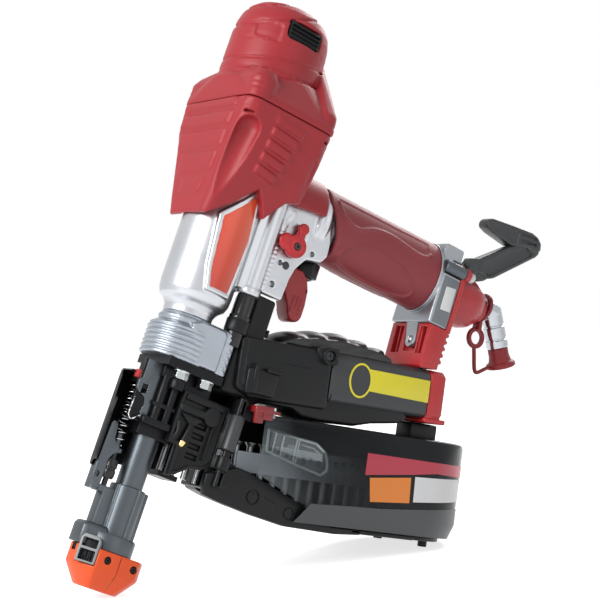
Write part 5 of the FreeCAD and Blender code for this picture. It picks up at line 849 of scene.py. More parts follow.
def coiled(name, node, turns, wire_r):
    """A coil spring in a CAD spring's place."""
    low, high = span(node, tool)
    middle, steps = (low.x + high.x) / 2, 24
    bm = bmesh.new()
    start = (high.x - wire_r, 0, low.z + wire_r)
    bmesh.ops.create_circle(bm, cap_ends=False, segments=8, radius=wire_r,
        matrix=Matrix.Translation(start) @ Matrix.Rotation(pi / 2, 4, "X"))
    rise = (high.z - low.z - 2 * wire_r) / (turns * steps)
    bmesh.ops.spin(bm, geom=bm.verts[:] + bm.edges[:], cent=(middle, 0, 0), axis=(0, 0, 1),
        dvec=(0, 0, rise), angle=tau * turns, steps=turns * steps)
    bmesh.ops.holes_fill(bm, edges=[e for e in bm.edges if e.is_boundary], sides=10)
    coil = piece(name, bm, tool, bright_steel, "tool", "spring_steel", node, crease=60)
    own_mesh(coil)


coiled("coil_spring", "return_spring", 9, 0.42)

# ---- Trigger: a red nylon lever with a hollowed front for the finger. It turns on a pin
# and lifts the valve stem, which slides in a black hexagon cap.
trigger_red = finish("trigger_red", (0.33, 0.014, 0.018), 0.34, (0.50, 0.06, 0.06), grain=1200,
    depth=0.04, uneven=0.10, edge=0.0008)
pivot_x, pivot_z = 43.5, 213                            # the trigger's pin
lever = slab([(39.4, 208), (39.4, 214.6), (44, 217.1), (62, 217.1), (66.4, 213.6), (69.4, 207),
    (70.6, 198), (70.6, 190.6), (69.4, 187.4), (66.4, 185.7), (62.8, 186.3), (60.6, 189.4),
    (58.2, 194.6), (54.2, 200), (51.6, 204.6), (48.6, 206.8)], -7, 7, rim=2.2, steps=4)
lever = cut(lever, bar("Y", 67.6, 206, -8, -5.8, 1.1, sides=20),
    bar("Y", 67.6, 206, 5.8, 8, 1.1, sides=20), bar("Y", pivot_x, pivot_z, -8, 8, 2.2))
piece("trigger_lever", together(lever, both_sides(together(*(brick((x, -7.5, 191),
    (x + 1.1, -6.6, 201), rim=0.3) for x in (60.4, 63.2, 66))))), tool, trigger_red,
    "trigger_lever", "red_plastic", "trigger")
low, high = span("valve_cap", tool)
x_mid, cap_half = (low.x + high.x) / 2, (high.x - low.x) / 2
valve = cut(together(bar("Z", x_mid, 0, low.z + 0.4, high.z, cap_half - 0.1, rim=0.8, sides=6),
    turned([(0, low.z - 0.8), (5.2, low.z - 0.8), (6, low.z), (6, low.z + 2), (0, low.z + 2)],
    (x_mid, 0, 0), sides=40)), bar("Z", x_mid, 0, low.z - 2, low.z + 1.4, 4.2),
    bar("Z", x_mid, 0, low.z - 2, high.z + 1, 2.7, sides=24))
piece("valve_hexagon", valve, tool, black_moulding, "tool", "black_plastic", "valve_cap")
finish_nodes(zinc, "valve_stem")

# ---- Lock lever: a bright red nylon lever beside the trigger, on a shouldered screw. Turned
# up it blocks the trigger.
low, high = span("lock_lever", tool)
pin_x, pin_z = pivot_x, 225
outer_y, inner_y = low.y, high.y
lever = together(bar("Y", pin_x, pin_z, outer_y + 0.4, inner_y - 0.2, 6.9, rim=1.0, sides=48,
    steps=3), bar("Y", pin_x, pin_z, outer_y, inner_y - 1, 3.9, rim=0.5, sides=40),
    ball((pin_x - 6.2, outer_y + 2.9, pin_z - 0.4), (6.0, 2.5, 5.4), finer=4),
    wedge(((pin_x - 3.4, pin_z + 2), (pin_x + 4.2, pin_z + 1), (pin_x + 2.2, 236.4),
    (pin_x - 2.2, 236.8)), outer_y + 1.0, inner_y - 1.2, rim=1.2, steps=3),
    bar("Y", pin_x, 236.8, outer_y + 0.9, inner_y - 1.1, 3.5, rim=1.2, sides=40, steps=3))
lever.transform(Matrix.Translation((pin_x, 0, pin_z)) @ Matrix.Rotation(radians(9), 4, "Y")
    @ Matrix.Translation((-pin_x, 0, -pin_z)))
lever = moulded(lever, bar("Y", pin_x, pin_z, outer_y - 1, inner_y + 1, 2.2), grain=0.35, passes=4)
lock_red = finish("lock_red", (0.50, 0.010, 0.018), 0.30, (0.65, 0.06, 0.06), grain=1300,
    edge=0.0006, depth=0.02)
piece("lock_lever_red", lever, tool, lock_red, "lock", "red_plastic", "lock_lever", crease=180)
pins = both_sides(turned([(0, 15.6), (2.2, 15.4), (2.6, 14.8), (2.6, 14), (0, 14)],
    (pivot_x, 0, pivot_z), (0, 1, 0), 40))
screw = cut(bar("Y", pin_x, pin_z, outer_y - 0.2, inner_y + 4, 1.95, rim=0.3),
    bar("Y", pin_x, pin_z, outer_y - 1, outer_y + 0.9, 1.1, sides=6))
piece("housing_pin_heads", together(pins, screw, bar("Y", pivot_x, pivot_z, -15.2, 15.2, 2)), tool,
    dull_grey, "tool", "zinc_steel", "housing_pins")

# ---- Grip: a soft red rubber sleeve on the cast handle, with a raised wave along each
# side and a field of fine dimples under the fingers.


def oval(start, end, wide, tall, rim=0.0, sides=72):
    """An oval bar along the handle."""
    bm = bar("X", 0, 0, start, end, 1.0, sides=sides)
    bmesh.ops.transform(bm, matrix=Matrix.Translation((0, 0, grip_z))
        @ Matrix.Diagonal((1, wide, tall, 1)), verts=bm.verts)
    return soften(bm, rim, 3, 40)


low, high = span("grip", tool)
wide, tall = 18.4, 22.4
grip_body = oval(low.x, high.x, wide, tall, rim=1.0, sides=96)


def on_grip(points, out=0.0):
    """Points (x, z) laid on the grip's near side, so far out from its skin."""
    return [(x, -(wide + out) * sqrt(max(0.0, 1 - ((z - grip_z) / (tall + out)) ** 2)), z)
        for x, z in points]


def smooth_line(points, finer=6):
    """The same line with rounded bends, as a spline runs through its points."""
    line = bpy.data.curves.new("line", "CURVE")
    line.dimensions = "3D"
    spline = line.splines.new("NURBS")
    spline.points.add(len(points) - 1)
    for place, point in zip(spline.points, points):
        place.co = (*point, 1.0)
    spline.order_u, spline.use_endpoint_u, spline.resolution_u = 4, True, finer
    holder = bpy.data.objects.new("line", line)
    mesh = bpy.data.meshes.new_from_object(holder)
    found = [v.co.copy() for v in mesh.vertices]
    bpy.data.objects.remove(holder)
    bpy.data.curves.remove(line)
    bpy.data.meshes.remove(mesh)
    return found


wave = smooth_line([(66.2, 264, 0), (68.6, 259, 0), (72.6, 255.6, 0), (79.6, 251.6, 0),
    (86.6, 253.6, 0), (93.6, 257.4, 0), (103, 259.2, 0), (114, 258.6, 0), (124, 256.6, 0),
    (133, 255.6, 0), (138.2, 256.4, 0), (140.8, 259.4, 0)])
wave_line = on_grip([(p.x, p.y) for p in wave], 0.1)
field = [(78.8, 229.1), (76.8, 233.4), (78.4, 238.6), (84.8, 243.2), (94.9, 246.0), (108.4, 245.8),
    (123.2, 242.6), (133.9, 238.4), (138.4, 234.4), (137.6, 230.4), (131.6, 228.2), (112.4, 227.6),
    (95.8, 228.0)]
border = smooth_line([(x, z, 0) for x, z in field + field[:2]])
border_line = on_grip([(p.x, p.y) for p in border], 0.0)
rises = together(run_along(wave_line, 1.0, 8), run_along(border_line, 0.95, 8))
hollow = common(cut(oval(60, high.x - 4, wide + 2, tall + 2, sides=96),
    oval(59, high.x - 3, wide - 0.55, tall - 0.55, sides=96)),
    slab([(p.x, p.y) for p in smooth_line([(x, z, 0) for x, z in [(66.2, 266), (66.4, 262),
    (70.6, 257.2), (79.6, 252.8), (86.6, 254.8), (93.6, 258.6), (103, 260.4), (114, 259.8),
    (124, 257.8), (133, 256.8), (137.4, 257.6), (139.4, 261)]])] + [(139.6, 266.5)], -30, 0))
front_edge = smooth_line([(66.5, 218, 0), (69, 222, 0), (71.8, 228, 0), (72.6, 235, 0),
    (70.5, 244, 0), (66.5, 252, 0), (60.5, 261, 0)])
grip_skin = moulded(together(grip_body, both_sides(rises)),
    together(both_sides(hollow), oval(low.x - 1, high.x + 1, 15.2, 18, sides=64),
    slab([(p.x, p.y) for p in front_edge] + [(50, 262), (50, 218)], -30, 30)), grain=0.55, passes=2)
grip_red = finish("grip_red", (0.25, 0.038, 0.046), 0.50, (0.36, 0.07, 0.075), grain=900,
    depth=0.10, uneven=0.07, edge=0.0012, shine=0.35)
tree = grip_red.node_tree
relief = next(n for n in tree.nodes if n.type == "BUMP")
_, laid, along = lie_along(tree, tool_lean)
dots = node_of(tree, "TexVoronoi", Scale=620.0, Randomness=0.0)
tree.links.new(laid, dots.inputs["Vector"])
inside = None
for socket, low_at, high_at in (("Z", 0.2285, 0.2450), ("X", 0.080, 0.136)):
    for how, limit in (("GREATER_THAN", low_at), ("LESS_THAN", high_at)):
        test = sums(tree, how, along.outputs[socket], limit)
        inside = test if inside is None else sums(tree, "MULTIPLY", inside, test)
pits = node_of(tree, "Bump", Strength=0.9, Distance=0.0016)
tree.links.new(sums(tree, "MULTIPLY", dots.outputs["Distance"], inside), pits.inputs["Height"])
tree.links.new(relief.outputs[0], pits.inputs["Normal"])
shader = next(n for n in tree.nodes if n.type == "BSDF_PRINCIPLED")
tree.links.new(pits.outputs[0], shader.inputs["Normal"])
piece("grip_sleeve", grip_skin, tool, grip_red, "tool", "red_grip", "grip", crease=50)

# ---- End block: the cast rear end of the handle, left silver in front and painted grey
# on its sides, with a tab below that the rear bracket hooks on.
end_block = slab([(-19.5, 219.6), (19.5, 219.6), (19.5, 267), (14, 272.8), (-14, 272.8),
    (-19.5, 267)], 152, 167, "X", rim=1.4, steps=3)
lip = cut(oval(150, 153, 19.4, 23.2, rim=0.8), oval(146, 155, 18.8, 22.6))
lip = common(lip, brick((140, -30, 219.6), (156, 30, 272)))
tab = together(hull([(x, y, z) for x in (153.4, 157) for y, z in ((-8.6, 208.4), (0.8, 208.4),
    (-6.6, 221), (5.0, 221))], rim=0.7), bar("X", -3.9, 208.2, 153.4, 157, 4.7, rim=0.7, sides=40))
end_bm = together(cut(end_block, brick((150, -21, 252.6), (169, -13.6, 274), rim=0.6)), lip, tab)
end_bm = cut(end_bm, bar("X", 0, grip_z, 140, 180, 13.6, sides=48))
end_grey = finish("end_grey", (0.30, 0.32, 0.345), 0.36, (0.60, 0.61, 0.63), metal=0.85, grain=1000,
    depth=0.10, edge=0.0007)
piece("end_casting", end_bm, tool, end_grey, "tool", "cast_aluminium", "handle_end", crease=32)
side_paint = finish("side_paint", (0.15, 0.165, 0.18), 0.42, (0.3, 0.31, 0.32), metal=0.4,
    grain=1100, depth=0.05)
paint = both_sides(slab([(153.6, 220.6), (165.9, 220.6), (165.9, 251.6), (153.6, 251.6)], -19.7,
    -19.3, rim=0.1))
piece("end_side_paint", paint, tool, side_paint, "tool", "cast_aluminium")
plate_white = finish("plate_white", (0.72, 0.73, 0.74), 0.45, grain=1200, depth=0.02, uneven=0.04)
piece("bare_plate", slab([(157.3, 230), (165.2, 230.6), (164.8, 246.2), (157, 245.2)], -19.98,
    -19.6, rim=0.12), tool, plate_white, "tool", "cast_aluminium")
spot_yellow = finish("spot_yellow", (0.72, 0.62, 0.06), 0.40, grain=1200, depth=0.02, uneven=0.05)
piece("yellow_spot", brick((153.6, -13.4, 271.6), (161.4, -9.4, 273.0), rim=0.3), tool, spot_yellow,
    "tool", "cast_aluminium")
pan = cut(turned([(0, 0), (2.4, 0), (2.4, 0.6), (1.9, 1.3), (1.0, 1.7), (0, 1.7)],
    (153.5, -3.9, 208.4), (-1, 0, 0), 36), brick((151.2, -5.6, 208.1), (152.3, -2.2, 208.7)),
    brick((151.2, -4.2, 206.7), (152.3, -3.6, 210.1)))
piece("tab_screw", pan, tool, zinc, "tool", "zinc_steel")
side_y, side_z = -18.2, 257.6
capsule = bar("X", side_y, side_z, 151.6, 168.8, 4.2, rim=1.4, sides=48, steps=4)
piece("side_cylinder", capsule, tool, grey_steel, "tool", "steel")
piece("cylinder_ring", bar("X", side_y, side_z, 168.6, 172.2, 4.3, rim=0.5, sides=48), tool,
    catch_red, "tool", "red_plastic")
piece("cylinder_end", bar("X", side_y, side_z, 172, 176.4, 3.2, rim=1.2, sides=48, steps=3), tool,
    plate_white, "tool", "strip_plastic")

# ---- Rear bracket: a red glass-filled nylon bracket behind the end block, that holds the
# magazine arm. Its foot has two pockets in front and a toothed rear edge.
bracket_red = finish("bracket_red", (0.46, 0.016, 0.020), 0.33, (0.62, 0.08, 0.08), grain=1200,
    depth=0.05, uneven=0.08, edge=0.0008)
low, high = span("rear_bracket", tool)
foot_edge = [(154.2, 219.4), (155.6, low.z + 1.6), (157, low.z + 0.6), (169.4, low.z + 3.4)]
for step in range(5):
    z = 197.4 + 4.4 * step
    foot_edge += [(169.2, z), (170.8, z + 0.9), (170.8, z + 2.4), (169.2, z + 3.3)]
foot_edge += [(170.4, 219.4)]
foot = slab(foot_edge, -19.4, 19.4, rim=0.5)
back_plate = slab([(-19.4, 218), (19.4, 218), (19.4, 260), (11.5, 265.8), (-11.5, 265.8),
    (-19.4, 260)], 167.1, 171, "X", rim=0.8)
rooms = together(*(hull([(x, y, z) for x, grow in ((150, 0.8), (163.6, -1))
    for z in (200.0 - grow, 217.2 + grow) for y in (side * 8.6 - 2 + side * (-grow), side * 15.6 - 1
    + side * grow)]) for side in (-1, 1)), hull([(x, y, z) for x in (150, 157.3)
    for y, z in ((-9.6, 201), (1.8, 201), (-7.2, 222), (5.6, 222))]))
foot = cut(foot, rooms, bar("X", 0, grip_z, 160, 175, 13.4))
back_plate = cut(back_plate, bar("X", 0, grip_z, 160, 175, 13.4, sides=48))
webs = [slab([(155, 217), (157, 199), (163, 199), (163, 217)], y, y + 1.0, rim=0.3)
    for y in (-11.8, 10.8)]
piece("bracket_body", together(foot, back_plate, *webs), tool, bracket_red, "tool", "red_plastic",
    "rear_bracket", crease=32)

# ---- End cover: a red domed cover over the handle's air inlet, that the swivel plug
# comes out of.
low, high = span("end_cover", tool)
dome_z = (low.z + high.z) / 2
profile = [(0, 0), (17.2, 0), (17.2, 14), (16.6, 18), (15, 22), (12.6, 25), (10.4, 26.6), (8.4, 27),
    (8.4, 30.8), (0, 30.8)]
hook_y, hook_z = -12, 263                               # the hook's bolt
dome_bm = turned(profile, (171.1, 0, dome_z), (1, 0, 0), 80)
rib = slab([(171.1, 262), (171.1, 266.6), (184, 265.4), (190, 262), (192, 258)], -6, 6, rim=0.9)
cover_bm = cut(together(dome_bm, rib), bar("X", 0, grip_z, 170, 206, 6.5, sides=48),
    bar("X", hook_y, hook_z, 170, 206, 9.4, sides=48))
dome_red = finish("dome_red", (0.42, 0.018, 0.026), 0.34, (0.45, 0.06, 0.07), grain=1200,
    depth=0.05, uneven=0.08, edge=0.0008)
piece("end_dome", cover_bm, tool, dome_red, "tool", "red_plastic", "end_cover", crease=32)

# ---- Belt hook: a black glass-filled nylon hook, a flat arm with a broad tongue bent
# forwards, turning on a bolt in the bracket.
eye = cut(bar("X", hook_y, hook_z, 171.5, 178.4, 6.4, rim=0.8, sides=48),
    bar("X", hook_y, hook_z, 170, 180, 2.7))
arm = slab([(172, 258.4), (182, 258.4), (190.4, 262.2), (221.6, 291), (223.4, 293.6), (223.6, 297),
    (216.6, 299.6), (199, 289.8), (178, 272.6), (172, 270.6)], -16.6, -7.4, rim=1.5, steps=3)
arm = cut(arm, slab([(188, 263.4), (218.6, 291.2), (212, 294.2), (199.4, 286.8), (182, 271)], -20,
    -15.2, rim=0.4), bar("X", hook_y, hook_z, 178.6, 200, 4.6))
tongue = slab([(176.4, 293.8), (175.4, 296.4), (176.2, 299), (178.6, 300.8), (195.2, 303),
    (212.9, 305), (218.6, 304), (222.6, 301), (223.8, 296.6), (221, 293.6), (212, 294.4),
    (199.4, 290.4), (182, 292.2)], -17.2, -7.0, rim=1.6, steps=3)
tongue = cut(tongue, *(slab(points, -22, -15.9, rim=0.2)
    for points in ([(204.6, 297.4), (218.8, 299.2), (219.8, 297.4), (205.4, 295.2)],
    [(204, 301.4), (217.6, 302.6), (218.6, 301), (204.6, 299.4)])),
    slab([(179, 294.6), (183, 293.6), (198.6, 291.8), (203, 293.2), (202.4, 301), (195, 301.2),
    (180, 299.2), (178, 297)], -22, -16.6, rim=0.2))
hook_black = finish("hook_black", (0.020, 0.022, 0.024), 0.40, (0.10, 0.105, 0.11), grain=1300,
    depth=0.06, uneven=0.15, edge=0.0008)
piece("hook_arm", together(eye, arm, tongue), tool, hook_black, "hook", "black_plastic",
    "belt_hook", crease=32)
low, high = span("hook_bolt", tool)
bolt = together(bar("X", hook_y, hook_z, low.x, 178.9, 2.4),
    cut(bar("X", hook_y, hook_z, 178.7, high.x, 3.9, rim=0.5),
    bar("X", hook_y, hook_z, high.x - 1.4, high.x + 1, 2.0, sides=6)))
piece("hook_bolt_head", bolt, tool, dull_grey, "tool", "zinc_steel", "hook_bolt")

# ---- Air plug: a chromed steel swivel plug, bent down behind the handle. Its nipple is
# covered by a rubber dust cap on a strap.
low, high = span("air_plug", tool)
elbow_x = 212.2
drop_way = Vector((cos(radians(55)), 0, -sin(radians(55))))
elbow = Vector((elbow_x, 0, grip_z))


def down(reach):
    """The point so far along the plug's sloping run."""
    return tuple(elbow + drop_way * reach)


run = turned([(0, low.x), (6, low.x), (6, 202), (7.0, 202.4), (7.1, 204), (6.3, 205), (6.3, 206.4),
    (7.1, 207.2), (7.1, elbow_x), (0, elbow_x)], (0, 0, grip_z), (1, 0, 0), 56)
slope_part = turned([(0, 0), (7.0, 0), (7.0, 8), (6.4, 8.6), (6.4, 9.4), (7, 9.9), (7, 17),
    (6.6, 17.5), (6.6, 18.1), (7.2, 18.6), (7.2, 23), (6.6, 23.6), (0, 23.6)], down(0), drop_way,
    56)
nipple = turned([(0, 22), (4.2, 22), (4.4, 26), (3.4, 27), (3.4, 29.6), (4.4, 30.6), (4.4, 33.6),
    (3.4, 34.6), (0, 34.6)], down(0), drop_way, 40)
chrome = finish("chrome", (0.42, 0.44, 0.47), 0.13, metal=1.0, grain=500, depth=0.01, uneven=0.05,
    spread_by=0.06)
piece("plug_chrome", together(run, ball(tuple(elbow), 7.05, finer=4), slope_part, nipple), tool,
    chrome, "plug", "chrome", "air_plug", crease=32)
cap_red = finish("cap_red", (0.235, 0.016, 0.020), 0.46, (0.38, 0.05, 0.05), grain=1100, depth=0.05,
    shine=0.4)
cup = turned([(4.8, 23.8), (6.2, 23.8), (6.6, 24.4), (6.6, 29), (7.4, 32.6), (9.4, 34), (9.6, 34.6),
    (9.6, 36.2), (8.8, 36.8), (0, 36.8), (0, 35.4), (4.8, 35.2), (4.8, 23.8)], down(0), drop_way,
    64)
piece("dust_cup", cup, tool, cap_red, "plug_cap", "red_rubber", "dust_cap", crease=40)
band_path = smooth_line([(206.6, 0, 224), (208.8, 0, 219), (211.4, 0, 212), (213.4, 0, 208.2),
    (215.8, 0, 208.2), (219, 0, 211.4), (223.0, 0, 214.8)])
collar_ring = turned([(7.3, 0), (9.2, 0), (9.6, 0.5), (9.6, 2.0), (9.2, 2.5), (7.3, 2.5), (7.3, 0)],
    (202.9, 0, grip_z), (1, 0, 0), 64)
neck = wedge(((202.9, 240.6), (205.4, 240.6), (206.8, 233.8), (203.6, 233.8)), -3.4, 3.4, rim=0.6)
loop = turned([(4.3, -1.2), (6.6, -1.2), (7.0, -0.7), (7.0, 0.7), (6.6, 1.2), (4.3, 1.2),
    (4.3, -1.2)], (206, 0, 229), (0, 1, 0), 56)
strap = together(collar_ring, neck, loop, run_along([tuple(p) for p in band_path], 1.3, 10))
piece("strap_red", strap, tool, cap_red, "plug", "red_rubber", "cap_strap", crease=40)


# ---- Cylinder cap: a cast aluminium head, bolted through its flange to the casting,
# that holds the air motor. The guards hide it.
def pairs(*points):
    """Each point and its mirror across the tool."""
    return [(x, side * y, z) for x, y, z in points for side in (-1, 1)]


def edge_ring(low_x, high_x, wide, z, round_by):
    """Points round a block's edge at one height, its four corners rounded."""
    points = []
    for x, way in ((low_x + round_by, -1), (high_x - round_by, 1)):
        for step in range(6):
            turn = pi / 2 * step / 5
            points += pairs((x + way * round_by * sin(turn), wide - round_by * (1 - cos(turn)), z))
    return points


low, high = span("cylinder_cap", tool)
head = together(turned([(0, low.z), (23.5, low.z), (23.8, 344), (20, 349.5), (12, 351.8),
    (0, 352)]), hull(edge_ring(low.x + 1, high.x - 1, high.y - 1, low.z, 8)
    + edge_ring(low.x + 1, high.x - 1, high.y - 1, low.z + 10, 8)))
piece("cylinder_head", head, tool, cast_silver, "tool", "cast_aluminium", "cylinder_cap", crease=30)

# ---- Guards: two soft red mouldings that slip over the cylinder cap and the casting's
# flange and meet at a seam, with raised pads and hollowed corners to take knocks.
low, high = span("top_guard", tool)
seam, front, rear, half = low.z, low.x - 0.9, high.x + 1.8, high.y
cap_r, cap_top = 1.8 - low.x, high.z


def dome(shrink, low):
    """The round cap's outline, made smaller by so much."""
    outline = ((0, 0.4), (9, 0.8), (15, 2.0), (19.5, 4.2), (23, 7.6), (25.4, 12), (26.8, 17.5),
        (27.5, 25))
    return ([(max(0, cap_r * r / 27.5 - shrink), cap_top - drop - shrink) for r, drop in outline]
        + [(cap_r - shrink, low), (0, low)])


def leaning_cut(height, slope, thick=1.7):
    """A thin slice through the cap that climbs towards the handle."""
    leaf = brick((-40, -40, -thick / 2), (40, 40, thick / 2))
    leaf.transform(Matrix(((1, 0, 0, 0), (0, 1, 0, 0), (slope, 0, 1, height), (0, 0, 0, 1))))
    return leaf


bulge = [(31.4 * cos(turn), 31.4 * sin(turn), 311 + 6.4 * cos(turn))
    for turn in [tau * step / 40 for step in range(40)]]
shoulder = together(hull(edge_ring(front, rear, half - 0.3, seam, 8)
    + edge_ring(front, rear, half - 0.6, seam + 3.5, 8) + bulge, rim=1.2),
    hull(edge_ring(front + 0.1, -11, half, seam, 7) + edge_ring(front + 0.3, -11, half - 0.6, 302,
    7) + edge_ring(front + 3.2, -13, half - 2.6, 307, 6)
    + pairs((-14, 14, 312.5), (-25, 12, 310.5)), rim=1.4, steps=3),
    hull(edge_ring(20, rear, half - 0.5, seam, 5) + edge_ring(21, rear, half - 2.5, 301, 5)
    + pairs((23, half - 5, 305), (27, 10, 337), (20, 16, 334), (rear, 16, 307)), rim=1.6, steps=3))
cap = turned(dome(0, 296), sides=96)
grooves = together(leaning_cut(350.6, 0.46), leaning_cut(361, 0.42, 1.3), leaning_cut(322.2, 0.22),
    leaning_cut(313.4, 0.12, 1.4), leaning_cut(331.5, 0.10, 1.0))
grooves = common(cut(grooves, turned(dome(1.0, 290), sides=96)),
    bar("Z", 0, 0, 290, 364, cap_r + 1, sides=96))


def corner_slits(front_heights, rear_heights):
    """Thin slits across the guards' upright corners at some heights."""
    slits = []
    for x, heights in ((front, front_heights), (rear, rear_heights)):
        for side in (-1, 1):
            for z in heights:
                slit = brick((-3.4, -9, -0.7), (3.4, 9, 0.7))
                slit.transform(Matrix.Translation((x * 1.02, side * half * 1.015, z))
                    @ Matrix.Rotation(radians(45) * side * (1 if x < 0 else -1), 4, "Z"))
                slits.append(slit)
    return slits


vent_low, vent_high = span("exhaust_grille", tool)
vents = both_sides(brick((vent_low.x - 1.2, -half, vent_low.z - 0.9),
    (vent_high.x + 1.2, -19, vent_high.z + 0.9), rim=2.6, steps=3))
recess = both_sides(cut(brick((-26, -30, 330), (-14.5, -8, 341), rim=2.0),
    turned(dome(0.9, 290), sides=96)))
top_skin = moulded(together(cap, shoulder), together(grooves, vents, recess,
    *corner_slits((295.0, 298.4), (294.2,))), grain=0.6, passes=3)
guard_red = finish("guard_red", (0.33, 0.019, 0.026), 0.47, (0.46, 0.055, 0.06), grain=1300,
    depth=0.05, uneven=0.07, edge=0.0011, spread_by=0.12, shine=0.4)
piece("guard_top", top_skin, tool, guard_red, "tool", "red_guard", "top_guard", crease=180)

skirt_top = seam - 0.5
side_fall = ((skirt_top, half), (280, 38.6), (270, 36.9), (262, 35), (255, 33.4), (243, 29.0),
    (232, 25.0), (219, 20.6))
front_fall = ((skirt_top, front), (270, front), (241, -25.0), (219, -23.6))


def between(fall, z):
    """A face's distance from the axis at a height, read from its corners."""
    for (z_high, out_high), (z_low, out_low) in zip(fall, fall[1:]):
        if z >= z_low:
            return out_low + (out_high - out_low) * (z - z_low) / (z_high - z_low)
    return fall[-1][1]


flare = hull([point for z, wide in side_fall for point in edge_ring(between(front_fall, z), rear
    if z > 268 else rear - 1, wide, z, 8 if z > 250 else 5)], rim=0.6)
root = common(oval(24, 57.4, 20.2, 23.2, 1.5), brick((20, -30, 247.5), (60, 30, 300)))
below = slab([(-40, 200), (-40, 219.5), (-21, 219.5), (-8, 231), (2.2, 243.6), (8, 237.2),
    (13.6, 229.2), (17.5, 236), (22.5, 243.2), (30, 246.4), (52, 249.6), (70, 249.6), (70, 200)],
    -60, 60)
scoops = both_sides(together(rod((-21.5, -36.6, 270.5), (-27.0, -29.8, 214), 7.4, 9.4, sides=40),
    ball((-21.5, -36.6, 270.5), 7.4, finer=3), rod((29.5, -38.4, 268), (33, -33, 238), 4.4, 5.8),
    ball((29.5, -38.4, 268), 4.4, finer=3)))
inside = together(bar("Z", 0, 0, 200, 236, barrel_r + 0.8, sides=64),
    brick((14, -16.5, 200), (60, 16.5, 250), rim=2))
pads = []
for z_low, z_high, near_low, near_high, far in ((282.6, 288.2, 26.6, 25.6, 31),
        (271.4, 279.6, 24.4, 25.6, 30), (258.4, 268.4, 22.0, 24.0, 26),
        (243.4, 255.4, 16.2, 19.6, 19.6), (231.2, 240.4, 8.6, 12.2, 12.2)):
    corners = []
    for z, near, rise in ((z_low, near_low, 0.5), (z_high, near_high, -0.5)):
        for out, shrink in ((3.0, 0), (-1.5, 0.5)):
            x = between(front_fall, z) + out
            corners += [(x, shrink - near, z + shrink * rise),
                (x, min(far, near + 6) - shrink, z + shrink * rise)]
    pads.append(hull(corners, rim=0.35))
for step in range(5):
    high_z, x_end = 285.4 - 7.6 * step, 13.0 - 1.3 * step
    corners = [(x, min(39.9, between(side_fall, z) + out), z + fall)
        for x, fall in ((-6.8, 0), (x_end, -2.0)) for z in (high_z, high_z - 4.9)
        for out in (-3.5, 1.5)]
    for side in (-1, 1):
        pads.append(hull([(x, side * y, z) for x, y, z in corners], rim=0.4))
lower_skin = moulded(together(flare, root, *pads), together(below, scoops, inside,
    *corner_slits((283.6, 279.6), (283.8, 279.4))), grain=0.6, passes=3)
piece("guard_lower", lower_skin, tool, guard_red, "tool", "red_guard", "lower_guard", crease=180)

# ---- Exhaust grilles: black louvred inserts snapped into the cap's two windows, which
# let out the air that has driven the motor.
bars = [brick((vent_low.x - 0.6, -cap_r + 3.4, vent_low.z - 0.4),
    (vent_high.x + 0.6, -cap_r + 5, vent_high.z + 0.4), rim=0.3)]
for step in range(4):
    z = vent_low.z + 1.2 + 2.5 * step
    bars.append(hull([(x, y, z + rise) for x in (vent_low.x + 0.2, vent_high.x - 0.2)
        for y, rise in ((-cap_r + 4.2, 1.4), (-cap_r + 4.2, 0.5), (-cap_r + 1.9, 0.2),
        (-cap_r + 1.9, -0.6))], rim=0.15))
bars += [brick((x - 0.5, -cap_r + 2.6, vent_low.z - 0.3),
    (x + 0.5, -cap_r + 4.2, vent_high.z + 0.3), rim=0.2) for x in (vent_low.x, vent_high.x)]
piece("exhaust_louvres", both_sides(together(*bars)), tool, black_moulding, "tool", "black_plastic",
    "exhaust_grille")

# ---- Magazine arm: a black front half and a grey shell, moulded in glass-filled nylon and
# screwed together. It ties the feed housing to the rear bracket.
magazine = stand(joints["latch_turn"]["axis"])
low, high = span("arm_housing", magazine)
arm_split = high.x
arm_half, arm_high = 20.0, high.z                       # the arm is 40 mm wide
arm_front = slab([(low.x, arm_high), (low.x, 123.4), (73, 118.6), (arm_split, 118.8),
    (arm_split, arm_high)], -arm_half, arm_half, rim=2.6, steps=4)
belly = slab([(76, 121), (78, 117.2), (104, 116.6), (111, 112.8), (123, 111.6), (150, 112.0),
    (163, 115.2), (184, 118), (190, 122), (184, 130), (80, 130)], -17.4, 17.4, rim=2.2, steps=3)
clip = together(wedge(((67.2, 136.6), (88.6, 134.8), (86.6, 120.6), (66.2, 121.4)), -22.8, -18,
    rim=1.4, steps=3), wedge(((71.2, 139.2), (74.4, 139.0), (73.6, 121.6), (70.4, 121.8)), -23.4,
    -18, rim=0.9), wedge(((79.6, 137.4), (90.6, 136.2), (90.4, 134.2), (79.4, 135.2)), -23.6, -18,
    rim=0.7))
screw_x, screw_z = 122.6, 150.8
boss = together(wedge(((114, 155.4), (130, 155.8), (130, 146.2), (120, 146.0), (114, 151)), -21.6,
    -14, rim=1.4, steps=3), turned([(3.4, 0), (5.4, 0), (5.4, 1.6), (4.8, 2.2), (3.4, 2.2),
    (3.4, 0)], (screw_x, -21.0, screw_z), (0, -1, 0), 40))
step_line = together(brick((58, -arm_half - 1, 126), (66, -arm_half + 0.9, 158), rim=0.3),
    brick((90, -arm_half - 1, 141.4), (112, -arm_half + 0.5, 142.2)),
    bar("Y", screw_x, screw_z, -24, -20, 3.2))
front_bm = cut(together(arm_front, clip, boss), step_line)
piece("arm_front", together(front_bm, belly), magazine, black_moulding, "tool", "black_plastic",
    "arm_housing", crease=34)
screw_end = cut(turned([(0, 0), (3.0, 0), (3.0, 1.2), (2.4, 1.7), (0, 1.7)],
    (screw_x, -20.2, screw_z), (0, -1, 0), 36), brick((120.6, -23, 150.5), (124.6, -21.2, 151.1)),
    brick((122.3, -23, 148.8), (122.9, -21.2, 152.8)))
piece("arm_screw", screw_end, magazine, dull_grey, "tool", "zinc_steel")
low, high = span("arm_shell", magazine)
